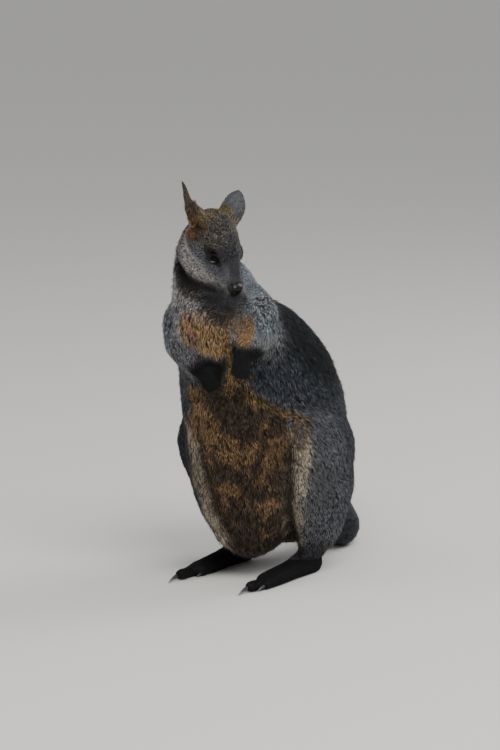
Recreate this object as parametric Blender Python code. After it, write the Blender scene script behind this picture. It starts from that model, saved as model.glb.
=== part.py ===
"""A life-size swamp wallaby standing upright, as closed solids out to the tips of its coat.

The animal faces -Y with its left side at +X and the floor at z = 0. Its trunk leans
forward over long hind feet, its forearms hang before the chest, its head is turned
over the left shoulder, and its tail lies on the floor behind it. The flesh is lofted
from a few stations for each mass, fused into one body, and parted with thin cuts.
"""

import math

import bmesh
import bpy
from mathutils import Matrix, Vector

# ---- Driving dimensions, in metres and degrees ----

GAP = 0.0003  # clearance between pieces that meet
VOXEL = 0.0032  # grain of the fused body before it is simplified
BODY_TRIANGLES = 2950
RING_POINTS = 24
CLAW_POINTS = 6
NOSE_POINTS = 12
SHARP_ANGLE = 50.0  # edges sharper than this stay crisp in the shading

SIDES = {"right": -1, "left": 1}

FOOT_SPREAD = 0.074  # from the middle plane to the middle line of a foot
FOOT_LENGTH = 0.215
HEEL_Y = 0.022
SOLE_DIP = 0.002  # how far a sole or the tail is flattened by the floor

HEAD_ORIGIN = Vector((0.030, -0.186, 0.590))  # midway between the eyes
HEAD_TURN = 71.0  # towards the animal's left
HEAD_NOD = 44.0  # nose below the level
EYE_RADIUS = 0.0098
EYE_PLACE = Vector((0.0245, -0.004, -0.0035))
EAR_LENGTH = 0.076
EAR_BASE = Vector((0.036, 0.066, 0.001))
EAR_WALL = 0.0032

TAIL_TURN = -36.0  # the tail bends towards the animal's right, away from +Y

# ---- Colours of the plain solids ----

GREY_COAT = (0.085, 0.085, 0.090)
DARK_COAT = (0.035, 0.036, 0.040)
RUFOUS_COAT = (0.150, 0.085, 0.045)
PALE_GREY_COAT = (0.160, 0.165, 0.175)
BLACK_SKIN = (0.012, 0.012, 0.014)
HORN = (0.060, 0.060, 0.065)
WET_EYE = (0.008, 0.006, 0.005)
FUR_ROUGHNESS = 0.85
SKIN_ROUGHNESS = 0.75
LEATHER_ROUGHNESS = 0.45
HORN_ROUGHNESS = 0.35
WET_ROUGHNESS = 0.05


def clear_scene():
    for item in list(bpy.data.objects):
        bpy.data.objects.remove(item, do_unlink=True)


def material(name, colour, roughness):
    made = bpy.data.materials.get(name)
    if made:
        return made
    made = bpy.data.materials.new(name)
    made.use_nodes = True
    shader = made.node_tree.nodes["Principled BSDF"]
    shader.inputs["Base Color"].default_value = (*colour, 1.0)
    shader.inputs["Roughness"].default_value = roughness
    shader.inputs["Metallic"].default_value = 0.0
    return made


# ---- Lofts: elliptical rings along a smooth path ----


def between(a, b, c, d, t):
    """The point at t from b to c on the smooth curve through a, b, c and d."""
    found = []
    for p, q, r, s in zip(a, b, c, d):
        slope = (r - p) * t
        bend = (2 * p - 5 * q + 4 * r - s) * t ** 2
        twist = (3 * q - p - 3 * r + s) * t ** 3
        found.append(q + (slope + bend + twist) / 2)
    return tuple(found)


def smooth_stations(stations, steps=4):
    """Stations with more read from the smooth curve between each two."""
    padded = [stations[0], *stations, stations[-1]]
    dense = []
    for i in range(1, len(padded) - 2):
        for k in range(steps):
            dense.append(between(*padded[i - 1 : i + 3], k / steps))
    dense.append(tuple(stations[-1]))
    return dense


def loft(bm, stations, side=(1, 0, 0), steps=4, place=Matrix.Identity(4), points=RING_POINTS):
    """Adds a closed body through stations of (x, y, z, half width, half depth).

    A ring's width runs along side and its depth square to that and to the path.
    """
    dense = smooth_stations(stations, steps)
    centres = [Vector(s[:3]) for s in dense]
    last_edges = None
    first_ring = None
    for i, station in enumerate(dense):
        ahead = centres[min(i + 1, len(centres) - 1)] - centres[max(i - 1, 0)]
        along = ahead.normalized()
        depth = along.cross(Vector(side)).normalized()
        width = depth.cross(along).normalized()
        turn = Matrix((width, depth, along)).transposed().to_4x4()
        grow = Matrix.Diagonal((station[3], station[4], 1.0, 1.0))
        at = place @ Matrix.Translation(centres[i]) @ turn @ grow
        ring = bmesh.ops.create_circle(bm, segments=points, radius=1.0, matrix=at)["verts"]
        edges = list({e for v in ring for e in v.link_edges})
        if last_edges:
            bmesh.ops.bridge_loops(bm, edges=last_edges + edges)
        else:
            first_ring = ring
        last_edges = edges
        last_ring = ring
    bmesh.ops.contextual_create(bm, geom=first_ring)
    bmesh.ops.contextual_create(bm, geom=last_ring)


def on_side(stations, side):
    """Stations given for the left side (side 1), or mirrored to the right (side -1)."""
    return [(side * x, *rest) for x, *rest in stations]


def right_leg(stations):
    """The mirrored leg, with its knee drawn in and a little lower, and its foot in place."""
    made = []
    for x, y, z, wide, deep in stations:
        share = min(max((z - ANKLE_HEIGHT) / ANKLE_TO_KNEE, 0), 1)
        made.append((-x + KNEE_SHIFT_RIGHT * share, y, z - KNEE_DROP_RIGHT * share, wide, deep))
    return made


# ---- The masses of the body ----


TRUNK = [
    (0.000, 0.045, 0.050, 0.040, 0.048),
    (0.002, 0.040, 0.085, 0.084, 0.096),
    (0.003, 0.028, 0.140, 0.108, 0.126),
    (0.003, 0.006, 0.205, 0.122, 0.149),
    (0.002, -0.022, 0.270, 0.131, 0.162),
    (0.000, -0.056, 0.330, 0.128, 0.161),
    (-0.001, -0.093, 0.385, 0.114, 0.138),
    (-0.002, -0.130, 0.430, 0.099, 0.108),
    (-0.005, -0.153, 0.470, 0.088, 0.089),
    (-0.021, -0.156, 0.515, 0.080, 0.064),
    (-0.047, -0.151, 0.560, 0.055, 0.048),
    (-0.044, -0.150, 0.600, 0.043, 0.042),
    (-0.024, -0.156, 0.632, 0.030, 0.028),
]
TRUNK_TURN = 6.0  # the shoulders are turned this much about the upright
BELLY = [
    (0.000, -0.040, 0.048, 0.035, 0.040),
    (0.000, -0.058, 0.085, 0.072, 0.074),
    (0.000, -0.076, 0.150, 0.096, 0.096),
    (0.000, -0.086, 0.225, 0.106, 0.106),
    (0.000, -0.094, 0.290, 0.104, 0.100),
    (0.000, -0.106, 0.345, 0.088, 0.080),
    (0.000, -0.120, 0.385, 0.050, 0.050),
]
BRISKET = [
    (0.000, -0.176, 0.350, 0.040, 0.030),
    (0.000, -0.182, 0.395, 0.060, 0.046),
    (-0.003, -0.186, 0.440, 0.062, 0.050),
    (-0.012, -0.184, 0.480, 0.052, 0.038),
    (-0.020, -0.176, 0.512, 0.034, 0.022),
]
THIGH = [
    (0.060, 0.050, 0.265, 0.040, 0.050),
    (0.080, 0.030, 0.240, 0.058, 0.082),
    (0.094, -0.006, 0.225, 0.055, 0.094),
    (0.107, -0.048, 0.233, 0.049, 0.088),
    (0.120, -0.088, 0.256, 0.042, 0.066),
    (0.125, -0.118, 0.276, 0.030, 0.044),
    (0.126, -0.138, 0.284, 0.014, 0.020),
]
HAM = [
    (0.070, 0.045, 0.230, 0.040, 0.050),
    (0.086, 0.022, 0.180, 0.054, 0.070),
    (0.089, 0.011, 0.125, 0.050, 0.065),
    (0.087, 0.012, 0.080, 0.041, 0.048),
    (0.081, 0.010, 0.045, 0.025, 0.030),
]
SHANK = [
    (0.124, -0.108, 0.296, 0.022, 0.028),
    (0.124, -0.100, 0.268, 0.037, 0.050),
    (0.117, -0.074, 0.215, 0.039, 0.054),
    (0.105, -0.048, 0.160, 0.036, 0.050),
    (0.092, -0.022, 0.105, 0.030, 0.041),
    (0.081, -0.002, 0.060, 0.023, 0.029),
    (0.075, 0.006, 0.028, 0.020, 0.024),
]
ANKLE_HEIGHT = 0.060
ANKLE_TO_KNEE = 0.200
KNEE_SHIFT_RIGHT = 0.032  # the turned hips bring the right knee this much nearer the middle plane
KNEE_DROP_RIGHT = 0.018
LEFT_UPPER_ARM = [
    (0.036, -0.146, 0.520, 0.022, 0.026),
    (0.056, -0.148, 0.506, 0.032, 0.036),
    (0.072, -0.153, 0.480, 0.035, 0.042),
    (0.079, -0.160, 0.456, 0.031, 0.038),
    (0.084, -0.168, 0.440, 0.025, 0.030),
    (0.087, -0.175, 0.426, 0.016, 0.019),
]
RIGHT_UPPER_ARM = [
    (-0.066, -0.156, 0.490, 0.026, 0.030),
    (-0.077, -0.160, 0.466, 0.036, 0.042),
    (-0.080, -0.164, 0.442, 0.034, 0.040),
    (-0.078, -0.170, 0.421, 0.028, 0.031),
    (-0.074, -0.176, 0.405, 0.018, 0.020),
]
RIGHT_FOREARM = [
    (-0.078, -0.170, 0.434, 0.023, 0.023),
    (-0.070, -0.186, 0.424, 0.026, 0.027),
    (-0.042, -0.209, 0.412, 0.023, 0.024),
    (-0.011, -0.224, 0.401, 0.018, 0.019),
    (0.012, -0.230, 0.392, 0.014, 0.016),
]
LEFT_FOREARM = [
    (0.088, -0.168, 0.454, 0.022, 0.022),
    (0.091, -0.184, 0.444, 0.026, 0.027),
    (0.094, -0.204, 0.434, 0.023, 0.025),
    (0.094, -0.218, 0.426, 0.017, 0.020),
    (0.093, -0.223, 0.418, 0.014, 0.016),
]


def trunk(bm):
    """From between the thighs, up the leaning back, to the top of the neck, with the belly before it."""
    turned = math.radians(TRUNK_TURN)
    loft(bm, TRUNK, side=(math.cos(turned), math.sin(turned), 0))
    loft(bm, BELLY)
    loft(bm, BRISKET)


def legs(bm):
    for turned in (list, right_leg):
        for mass in (THIGH, HAM, SHANK):
            loft(bm, turned(mass))


def along_foot(share):
    """The y of a place on a foot, from its heel (0) to the tip of its longest toe (1)."""
    return HEEL_Y - FOOT_LENGTH * share


# Share of the foot's length, height of the middle line, half width and half depth.
SOLE_STATIONS = [
    (-0.030, 0.014, 0.010, 0.010),
    (0.020, 0.016, 0.018, 0.019),
    (0.160, 0.018, 0.020, 0.022),
    (0.360, 0.015, 0.020, 0.018),
    (0.560, 0.012, 0.022, 0.015),
    (0.700, 0.011, 0.020, 0.013),
    (0.780, 0.009, 0.012, 0.010),
]
# Outward offset of each toe, where it starts and ends along the foot, half width and half height.
TOES = {
    "fourth": (0.0020, 0.62, 0.985, 0.0105, 0.0105),
    "fifth": (0.0135, 0.56, 0.830, 0.0080, 0.0085),
    "grooming": (-0.0135, 0.56, 0.760, 0.0058, 0.0070),
}


def foot(bm, side):
    """A long flat foot: heel, instep, the great fourth toe, the fifth, and the two joined small ones."""
    x = side * FOOT_SPREAD
    loft(bm, [(x, along_foot(share), *rest) for share, *rest in SOLE_STATIONS])
    for offset, start, end, wide, high in TOES.values():
        middle = (start + end) / 2
        at = x + side * offset
        stations = [
            (at - side * offset * 0.4, along_foot(start - 0.03), high, wide * 0.8, high * 0.8),
            (at, along_foot(start + 0.04), high, wide, high),
            (at, along_foot(middle), high * 0.90, wide * 0.92, high * 0.92),
            (at, along_foot(end - 0.05), high * 0.92, wide, high * 0.98),
            (at, along_foot(end), high * 0.70, wide * 0.5, high * 0.5),
        ]
        loft(bm, stations)


def arms(bm):
    loft(bm, LEFT_UPPER_ARM)
    loft(bm, RIGHT_UPPER_ARM)
    loft(bm, RIGHT_FOREARM, side=(0, 0, 1))
    loft(bm, LEFT_FOREARM)


def hand_place(wrist, ahead, palm_side):
    """The frame of a hand: fingers along its +Y, palm facing its -Z."""
    y = Vector(ahead).normalized()
    z = -Vector(palm_side)
    z = (z - y * z.dot(y)).normalized()
    x = y.cross(z)
    turn = Matrix((x, y, z)).transposed().to_4x4()
    return Matrix.Translation(wrist) @ turn


HANDS = {
    "right": hand_place((0.010, -0.229, 0.394), (0.56, 0.00, -0.76), (0.1, 1.0, -0.2)),
    "left": hand_place((0.093, -0.222, 0.424), (-0.22, 0.02, -0.97), (-0.35, 1.0, 0.0)),
}
FINGER_SPREADS = (-24, -12, 0, 12, 25)
FINGER_LENGTHS = (0.017, 0.022, 0.024, 0.022, 0.017)
FINGER_CURL = 30.0
KNUCKLE_HALF_WIDTH = 0.0125


def finger_points(index):
    """Root, middle and tip of a finger in the hand's frame."""
    spread = math.radians(FINGER_SPREADS[index])
    length = FINGER_LENGTHS[index]
    widest = math.radians(max(FINGER_SPREADS))
    root = Vector((KNUCKLE_HALF_WIDTH * math.sin(spread) / math.sin(widest), 0.024, 0.0))
    ahead = Vector((math.sin(spread) * 0.7, math.cos(spread), 0))
    curl = math.radians(FINGER_CURL)
    middle = root + ahead * length * 0.5 + Vector((0, 0, -0.001))
    bent = ahead * math.cos(curl) + Vector((0, 0, -math.sin(curl)))
    return root, middle, middle + bent * length * 0.5


PALM = [
    (0, -0.010, 0, 0.011, 0.010),
    (0, 0.004, 0, 0.0145, 0.0115),
    (0, 0.016, 0, 0.0170, 0.0105),
    (0, 0.028, -0.001, 0.0150, 0.0085),
    (0, 0.033, -0.002, 0.0080, 0.0045),
]


def hand(bm, place):
    loft(bm, PALM, place=place)
    for index in range(len(FINGER_SPREADS)):
        root, middle, tip = finger_points(index)
        stations = [
            (*(root - Vector((0, 0.006, 0))), 0.0040, 0.0040),
            (*root, 0.0046, 0.0046),
            (*middle, 0.0042, 0.0044),
            (*tip, 0.0036, 0.0038),
            (*(tip + (tip - middle) * 0.22), 0.0016, 0.0016),
        ]
        loft(bm, stations, place=place)


def head_matrix():
    return (
        Matrix.Translation(HEAD_ORIGIN)
        @ Matrix.Rotation(math.radians(HEAD_TURN), 4, "Z")
        @ Matrix.Rotation(math.radians(HEAD_NOD), 4, "X")
    )


# The head's masses in its own frame: the animal's left at +X, the nose along -Y, the crown at +Z.
SKULL = [
    (0, -0.0640, -0.0215, 0.0080, 0.0080),
    (0, -0.0600, -0.0210, 0.0125, 0.0120),
    (0, -0.0500, -0.0195, 0.0150, 0.0155),
    (0, -0.0340, -0.0150, 0.0180, 0.0195),
    (0, -0.0160, -0.0080, 0.0220, 0.0245),
    (0, 0.0020, -0.0020, 0.0275, 0.0300),
    (0, 0.0220, 0.0010, 0.0335, 0.0345),
    (0, 0.0420, 0.0010, 0.0370, 0.0360),
    (0, 0.0620, -0.0030, 0.0365, 0.0340),
    (0, 0.0800, -0.0090, 0.0270, 0.0250),
    (0, 0.0900, -0.0120, 0.0120, 0.0120),
]
JAW = [
    (0, -0.0530, -0.0330, 0.0070, 0.0050),
    (0, -0.0470, -0.0340, 0.0105, 0.0078),
    (0, -0.0300, -0.0345, 0.0140, 0.0105),
    (0, -0.0080, -0.0340, 0.0200, 0.0150),
    (0, 0.0180, -0.0330, 0.0290, 0.0220),
    (0, 0.0440, -0.0340, 0.0350, 0.0270),
    (0, 0.0640, -0.0300, 0.0280, 0.0240),
]
CHEEK = [
    (0.0160, -0.0080, -0.0180, 0.0070, 0.0090),
    (0.0235, 0.0080, -0.0170, 0.0110, 0.0150),
    (0.0285, 0.0280, -0.0180, 0.0135, 0.0220),
    (0.0300, 0.0500, -0.0200, 0.0140, 0.0270),
    (0.0260, 0.0680, -0.0160, 0.0110, 0.0200),
]
BROW = [
    (0.0155, -0.0200, 0.0000, 0.0040, 0.0035),
    (0.0200, -0.0120, 0.0070, 0.0055, 0.0048),
    (0.0225, -0.0020, 0.0105, 0.0062, 0.0052),
    (0.0240, 0.0090, 0.0100, 0.0055, 0.0050),
    (0.0240, 0.0200, 0.0070, 0.0040, 0.0040),
]
WHISKER_PAD = [
    (0.0060, -0.0600, -0.0250, 0.0040, 0.0050),
    (0.0095, -0.0520, -0.0250, 0.0070, 0.0085),
    (0.0120, -0.0400, -0.0235, 0.0078, 0.0095),
    (0.0135, -0.0260, -0.0210, 0.0060, 0.0080),
    (0.0140, -0.0160, -0.0190, 0.0040, 0.0050),
]
EAR_ROOT = [
    (0.0180, 0.0400, 0.0100, 0.0100, 0.0110),
    (0.0250, 0.0560, 0.0130, 0.0140, 0.0150),
    (0.0285, 0.0700, 0.0165, 0.0135, 0.0150),
    (0.0300, 0.0820, 0.0200, 0.0105, 0.0110),
    (0.0310, 0.0930, 0.0240, 0.0050, 0.0050),
]
NOSE_PAD = [
    (0, -0.0690, -0.0235, 0.0050, 0.0045),
    (0, -0.0672, -0.0232, 0.0092, 0.0078),
    (0, -0.0630, -0.0222, 0.0115, 0.0100),
    (0, -0.0570, -0.0205, 0.0110, 0.0100),
    (0, -0.0530, -0.0195, 0.0070, 0.0070),
]


def head(bm):
    """The wedge of the skull, the jaw under it, cheeks, brows, whisker pads and ear roots."""
    place = head_matrix()
    loft(bm, SKULL, place=place)
    loft(bm, JAW, place=place)
    for side in (-1, 1):
        for mass in (CHEEK, BROW, WHISKER_PAD, EAR_ROOT):
            loft(bm, on_side(mass, side), place=place)


TAIL_LIES_FROM = Vector((0.000, 0.205, 0))
TAIL_SAG = 0.10  # how strongly its line curves on, per metre of its length
TAIL_FALL = [
    (0.000, 0.075, 0.170, 0.050, 0.056),
    (0.000, 0.120, 0.118, 0.047, 0.052),
    (0.000, 0.160, 0.073, 0.042, 0.047),
    (*TAIL_LIES_FROM.xy, 0.040, 0.038, 0.041),
]
# How far along the floor, and the tail's radius there.
TAIL_LIES = [
    (0.055, 0.0365),
    (0.140, 0.0335),
    (0.240, 0.0300),
    (0.340, 0.0245),
    (0.430, 0.0195),
    (0.475, 0.0130),
    (0.488, 0.0050),
]


def tail_points():
    """The tail's middle line: down from the rump, then along the floor, bending to the right."""
    away = math.radians(TAIL_TURN)
    ahead = Vector((math.sin(away), math.cos(away), 0))
    points = list(TAIL_FALL)
    for reach, radius in TAIL_LIES:
        spot = TAIL_LIES_FROM + ahead * reach + Vector((-TAIL_SAG * reach ** 2, 0, 0))
        points.append((*spot.xy, radius - SOLE_DIP, radius, radius))
    return points


def tail(bm):
    loft(bm, tail_points())


# ---- One fused body ----


def new_object(name, bm):
    mesh = bpy.data.meshes.new(name)
    bm.to_mesh(mesh)
    bm.free()
    made = bpy.data.objects.new(name, mesh)
    bpy.context.scene.collection.objects.link(made)
    return made


def settle(obj):
    """Writes the object's modifiers into its mesh."""
    bpy.context.view_layer.update()
    graph = bpy.context.evaluated_depsgraph_get()
    mesh = bpy.data.meshes.new_from_object(obj.evaluated_get(graph))
    obj.modifiers.clear()
    old = obj.data
    obj.data = mesh
    bpy.data.meshes.remove(old)
    return obj


def flatten_at_floor(obj):
    """Cuts away what lies below the floor, which leaves flat soles and a flat under the tail."""
    bm = bmesh.new()
    bm.from_mesh(obj.data)
    cut = bmesh.ops.bisect_plane(
        bm,
        geom=bm.verts[:] + bm.edges[:] + bm.faces[:],
        dist=1e-6,
        plane_co=(0, 0, 0),
        plane_no=(0, 0, 1),
        clear_inner=True,
    )
    rim = [e for e in cut["geom_cut"] if isinstance(e, bmesh.types.BMEdge)]
    bmesh.ops.holes_fill(bm, edges=rim, sides=0)
    bmesh.ops.triangulate(bm, faces=bm.faces[:])
    bm.to_mesh(obj.data)
    bm.free()


def fused_body():
    bm = bmesh.new()
    trunk(bm)
    legs(bm)
    foot(bm, 1)
    foot(bm, -1)
    arms(bm)
    for place in HANDS.values():
        hand(bm, place)
    head(bm)
    tail(bm)
    bmesh.ops.recalc_face_normals(bm, faces=bm.faces[:])
    body = new_object("whole_body", bm)

    remesh = body.modifiers.new("Fuse", "REMESH")
    remesh.mode = "VOXEL"
    remesh.voxel_size = VOXEL
    remesh.adaptivity = 0
    soften = body.modifiers.new("Soften", "SMOOTH")
    soften.factor = 0.5
    soften.iterations = 3
    settle(body)

    fewer = body.modifiers.new("Fewer", "DECIMATE")
    faces = sum(len(p.vertices) - 2 for p in body.data.polygons)
    fewer.ratio = BODY_TRIANGLES / faces
    settle(body)
    flatten_at_floor(body)
    return body


# ---- Parting the body with thin cuts ----


def box_bmesh(low, high, place, grow=0.0):
    low = Vector(low) - Vector((grow,) * 3)
    high = Vector(high) + Vector((grow,) * 3)
    bm = bmesh.new()
    middle = (low + high) / 2
    size = Matrix.Diagonal((*(high - low), 1.0))
    bmesh.ops.create_cube(bm, size=1.0, matrix=place @ Matrix.Translation(middle) @ size)
    return bm


def boolean(obj, cutter, operation):
    cut = obj.modifiers.new(operation.title(), "BOOLEAN")
    cut.object = cutter
    cut.operation = operation
    settle(obj)


def copy_of(obj, name):
    made = obj.copy()
    made.data = obj.data.copy()
    made.name = name
    bpy.context.scene.collection.objects.link(made)
    return made


def largest_piece(obj):
    """Drops crumbs, if a cut left any beside the piece itself."""
    bm = bmesh.new()
    bm.from_mesh(obj.data)
    left = set(bm.verts)
    islands = []
    while left:
        heap = [left.pop()]
        island = set(heap)
        while heap:
            for edge in heap.pop().link_edges:
                for vertex in edge.verts:
                    if vertex in left:
                        left.remove(vertex)
                        island.add(vertex)
                        heap.append(vertex)
        islands.append(island)
    islands.sort(key=len)
    for crumb in islands[:-1]:
        bmesh.ops.delete(bm, geom=list(crumb), context="VERTS")
    bm.to_mesh(obj.data)
    bm.free()


def part_off(obj, name, low, high, place=Matrix.Identity(4)):
    """The piece of obj inside a box, as its own object, with obj left without it and a gap between."""
    inner = new_object("cutter", box_bmesh(low, high, place))
    piece = copy_of(obj, name)
    boolean(piece, inner, "INTERSECT")
    bpy.data.objects.remove(inner, do_unlink=True)
    outer = new_object("cutter", box_bmesh(low, high, place, GAP))
    boolean(obj, outer, "DIFFERENCE")
    bpy.data.objects.remove(outer, do_unlink=True)
    largest_piece(piece)
    largest_piece(obj)
    return piece


def scoop(obj, tool, grow):
    """Takes a slightly larger copy of tool out of obj, so that the two meet without touching."""
    cutter = copy_of(tool, "cutter")
    middle = sum((v.co for v in cutter.data.vertices), Vector()) / len(cutter.data.vertices)
    nearest = min((v.co - middle).length for v in cutter.data.vertices)
    larger = Matrix.Scale(1 + grow / nearest, 4)
    cutter.data.transform(Matrix.Translation(middle) @ larger @ Matrix.Translation(-middle))
    boolean(obj, cutter, "DIFFERENCE")
    bpy.data.objects.remove(cutter, do_unlink=True)


def trim(obj, whole):
    """Ends obj where it meets whole, a gap clear of its surface."""
    cutter = copy_of(whole, "cutter")
    swell = cutter.modifiers.new("Swell", "DISPLACE")
    swell.strength = GAP
    swell.mid_level = 0.0
    settle(cutter)
    boolean(obj, cutter, "DIFFERENCE")
    bpy.data.objects.remove(cutter, do_unlink=True)
    largest_piece(obj)


# ---- Eyes, nose, ears and claws ----


def eye(side, name):
    bm = bmesh.new()
    at = head_matrix() @ Vector((side * EYE_PLACE.x, EYE_PLACE.y, EYE_PLACE.z))
    bmesh.ops.create_icosphere(bm, subdivisions=2, radius=EYE_RADIUS, matrix=Matrix.Translation(at))
    return new_object(name, bm)


def nose_pad():
    """The bare pad over the muzzle's end, broader above than below."""
    bm = bmesh.new()
    loft(bm, NOSE_PAD, place=head_matrix(), steps=2, points=NOSE_POINTS)
    bmesh.ops.recalc_face_normals(bm, faces=bm.faces[:])
    return new_object("nose_pad", bm)


# The side of each ear, the way it points, and the way its opening faces, in the head's frame.
EARS = {
    "ear_left": (1, (0.64, 0.73, 0.04), (-0.25, -0.45, 0.85)),
    "ear_right": (-1, (0.03, 0.885, 0.455), (-0.80, 0.35, -0.50)),
}
EAR_ROWS = 10
EAR_COLUMNS = 8
EAR_SINK = 0.012  # how far its root runs into the head
EAR_ROOT_HALF_WIDTH = 0.0160
EAR_SWELL = 0.0060  # how much wider it is at its widest
EAR_TIP_FROM = 0.45  # the share of its length where the tip begins to round in
EAR_TIP_BLUNT = 0.04  # keeps the tip from ending in a point
EAR_RIM_OUT = 0.006  # how far its rims stand out from the middle of its root
EAR_CLOSED = 150.0  # half of the angle that the rolled leaf spans at its root
EAR_OPENED = 45.0  # and in its open part


def ear_place(side, ahead, opening):
    """The ear's frame: its length along +Z, its opening towards -Y."""
    z = Vector(ahead).normalized()
    y = -Vector(opening)
    y = (y - z * y.dot(z)).normalized()
    x = y.cross(z)
    base = Vector((side * EAR_BASE.x, EAR_BASE.y, EAR_BASE.z))
    turn = Matrix((x, y, z)).transposed().to_4x4()
    return head_matrix() @ Matrix.Translation(base - z * EAR_SINK) @ turn


def ear_point(across, up):
    """A point of the leaf, from its rolled root (up 0) to its tip (1), across from -1 to 1."""
    unrolled = min(up * 1.6, 1) ** 0.8
    half_angle = math.radians(EAR_CLOSED + (EAR_OPENED - EAR_CLOSED) * unrolled)
    widest = EAR_ROOT_HALF_WIDTH + EAR_SWELL * math.sin(math.pi * min(up * 0.95, 1) ** 1.1)
    rounding = max((up - EAR_TIP_FROM) / (1 - EAR_TIP_FROM), 0) ** 2.2
    half_width = widest * math.sqrt(max(1 - rounding, EAR_TIP_BLUNT))
    radius = half_width / math.sin(min(half_angle, math.pi / 2))
    angle = across * half_angle
    depth = radius * (math.cos(angle) - math.cos(half_angle)) - EAR_RIM_OUT
    return Vector((radius * math.sin(angle), depth, (EAR_LENGTH + EAR_SINK) * up))


def ear(name):
    """A rolled leaf: nearly a tube at its root, an open trough above, with a rounded tip."""
    bm = bmesh.new()
    bmesh.ops.create_grid(bm, x_segments=EAR_COLUMNS - 1, y_segments=EAR_ROWS - 1, size=1.0)
    for vertex in bm.verts:
        vertex.co = ear_point(vertex.co.x, (vertex.co.y + 1) / 2)
    bmesh.ops.transform(bm, matrix=ear_place(*EARS[name]), verts=bm.verts[:])
    bmesh.ops.recalc_face_normals(bm, faces=bm.faces[:])
    bmesh.ops.solidify(bm, geom=bm.faces[:], thickness=EAR_WALL)
    bmesh.ops.recalc_face_normals(bm, faces=bm.faces[:])
    return new_object(name, bm)


CLAW_STATIONS = 4
CLAW_CURVE = 0.28
CLAW_TAPER = 0.82
CLAW_FLATNESS = 0.8  # its width over its depth


def claw(name, root, ahead, down, length, radius):
    """A tapering, downward-curved claw from its root."""
    ahead = Vector(ahead).normalized()
    down = Vector(down).normalized()
    stations = []
    for i in range(CLAW_STATIONS):
        t = i / (CLAW_STATIONS - 1)
        spot = Vector(root) + ahead * length * t + down * length * CLAW_CURVE * t ** 2
        size = radius * (1 - CLAW_TAPER * t)
        stations.append((*spot, size * CLAW_FLATNESS, size))
    bm = bmesh.new()
    loft(bm, stations, side=ahead.cross(down), steps=1, points=CLAW_POINTS)
    bmesh.ops.recalc_face_normals(bm, faces=bm.faces[:])
    return new_object(name, bm)


# Where each claw's root lies along the foot, its height, its length and its radius.
TOE_CLAWS = {
    "fourth": (0.975, 0.0090, 0.026, 0.0056),
    "fifth": (0.815, 0.0075, 0.019, 0.0044),
    "grooming": (0.745, 0.0060, 0.012, 0.0032),
}
FINGER_CLAW = (0.0105, 0.0023)


def toe_claws(side, word):
    """The heavy claw of the fourth toe, the fifth's, and the small grooming pair joined as one."""
    made = []
    for toe, (share, height, length, radius) in TOE_CLAWS.items():
        across = side * (FOOT_SPREAD + TOES[toe][0])
        root = (across, along_foot(share), height)
        name = f"claw_{toe}_toe_{word}"
        made.append(claw(name, root, (0, -1, 0), (0, 0, -1), length, radius))
    return made


def finger_claws(word):
    """Five slim claws beyond the finger tips of one hand."""
    place = HANDS[word]
    turn = place.to_3x3()
    made = []
    for index in range(len(FINGER_SPREADS)):
        _, middle, tip = finger_points(index)
        ahead = turn @ (tip - middle)
        down = turn @ Vector((0, 0, -1))
        name = f"claw_finger_{index + 1}_{word}"
        made.append(claw(name, place @ tip, ahead, down, *FINGER_CLAW))
    return made


# ---- Putting the animal together ----


def forearm_place(stations):
    """A frame at the elbow with +Y along the forearm, and the forearm's length."""
    elbow = Vector(stations[0][:3])
    wrist = Vector(stations[-1][:3])
    y = (wrist - elbow).normalized()
    x = y.cross(Vector((0, 0, 1))).normalized()
    z = x.cross(y)
    turn = Matrix((x, y, z)).transposed().to_4x4()
    return Matrix.Translation(elbow) @ turn, (wrist - elbow).length


# Heights of the level cuts, and the other planes between the body's parts.
NECK_CUT = 0.503
CHEST_CUT = 0.372
ELBOW_CUT = {"right": 0.4155, "left": 0.442}
THIGH_TOP = 0.330
KNEE_CUT = 0.150
RUMP_TOP = 0.215
ANKLE_CUT = 0.034
CRUTCH_CUT = 0.020
BELLY_BACK = -0.075
SHOULDER_IN = 0.066  # how far from the middle plane an upper arm begins
SHOULDER_BACK = -0.095
HIP_IN = {"right": 0.066, "left": 0.076}
HIP_BACK = 0.105
FOOT_IN, FOOT_OUT = 0.030, 0.130  # a foot's box, from the middle plane
SHANK_IN = 0.066
BEFORE_KNEES = -0.240
BEHIND_HAMS = 0.115
BEHIND_HEELS = 0.060
UNDER_FLOOR = -0.010
WIDE = 0.200  # beyond the body on every side
AHEAD = -0.300
HALF_FOREARM = 0.032
BEHIND_ELBOW = 0.045
PAST_WRIST = 0.020
TAIL_CUTS = (0.150, 0.330)  # along the floor, between its base, middle and tip
TAIL_ROOT_CUT = 0.158
TAIL_CLEAR = 0.150  # boxes round the tail reach this far to each side of its line
TAIL_END = 0.600
TAIL_OVER = 0.120
TAIL_ROOT_TOP = 0.200
NECK_SIDES = (-0.150, 0.120)
NECK_BACK = -0.040
CROWN = 0.720
CHEST_BACK = 0.140
RUMP_BACK = 0.200

# Boxes in the head's frame, each as its low and its high corner.
HEAD_BOX = ((-0.062, -0.085, -0.058), (0.062, 0.098, 0.080))
MUZZLE_BOX = ((-0.040, -0.090, -0.0315), (0.040, -0.024, 0.050))
JAW_BOX = ((-0.050, -0.090, -0.070), (0.050, 0.012, -0.0318))
HAND_BOX = ((-0.023, -0.002, -0.017), (0.023, 0.080, 0.017))


def sided(side, inner, outer):
    """The low and high x of a span on one side of the middle plane."""
    return sorted((side * inner, side * outer))


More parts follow.
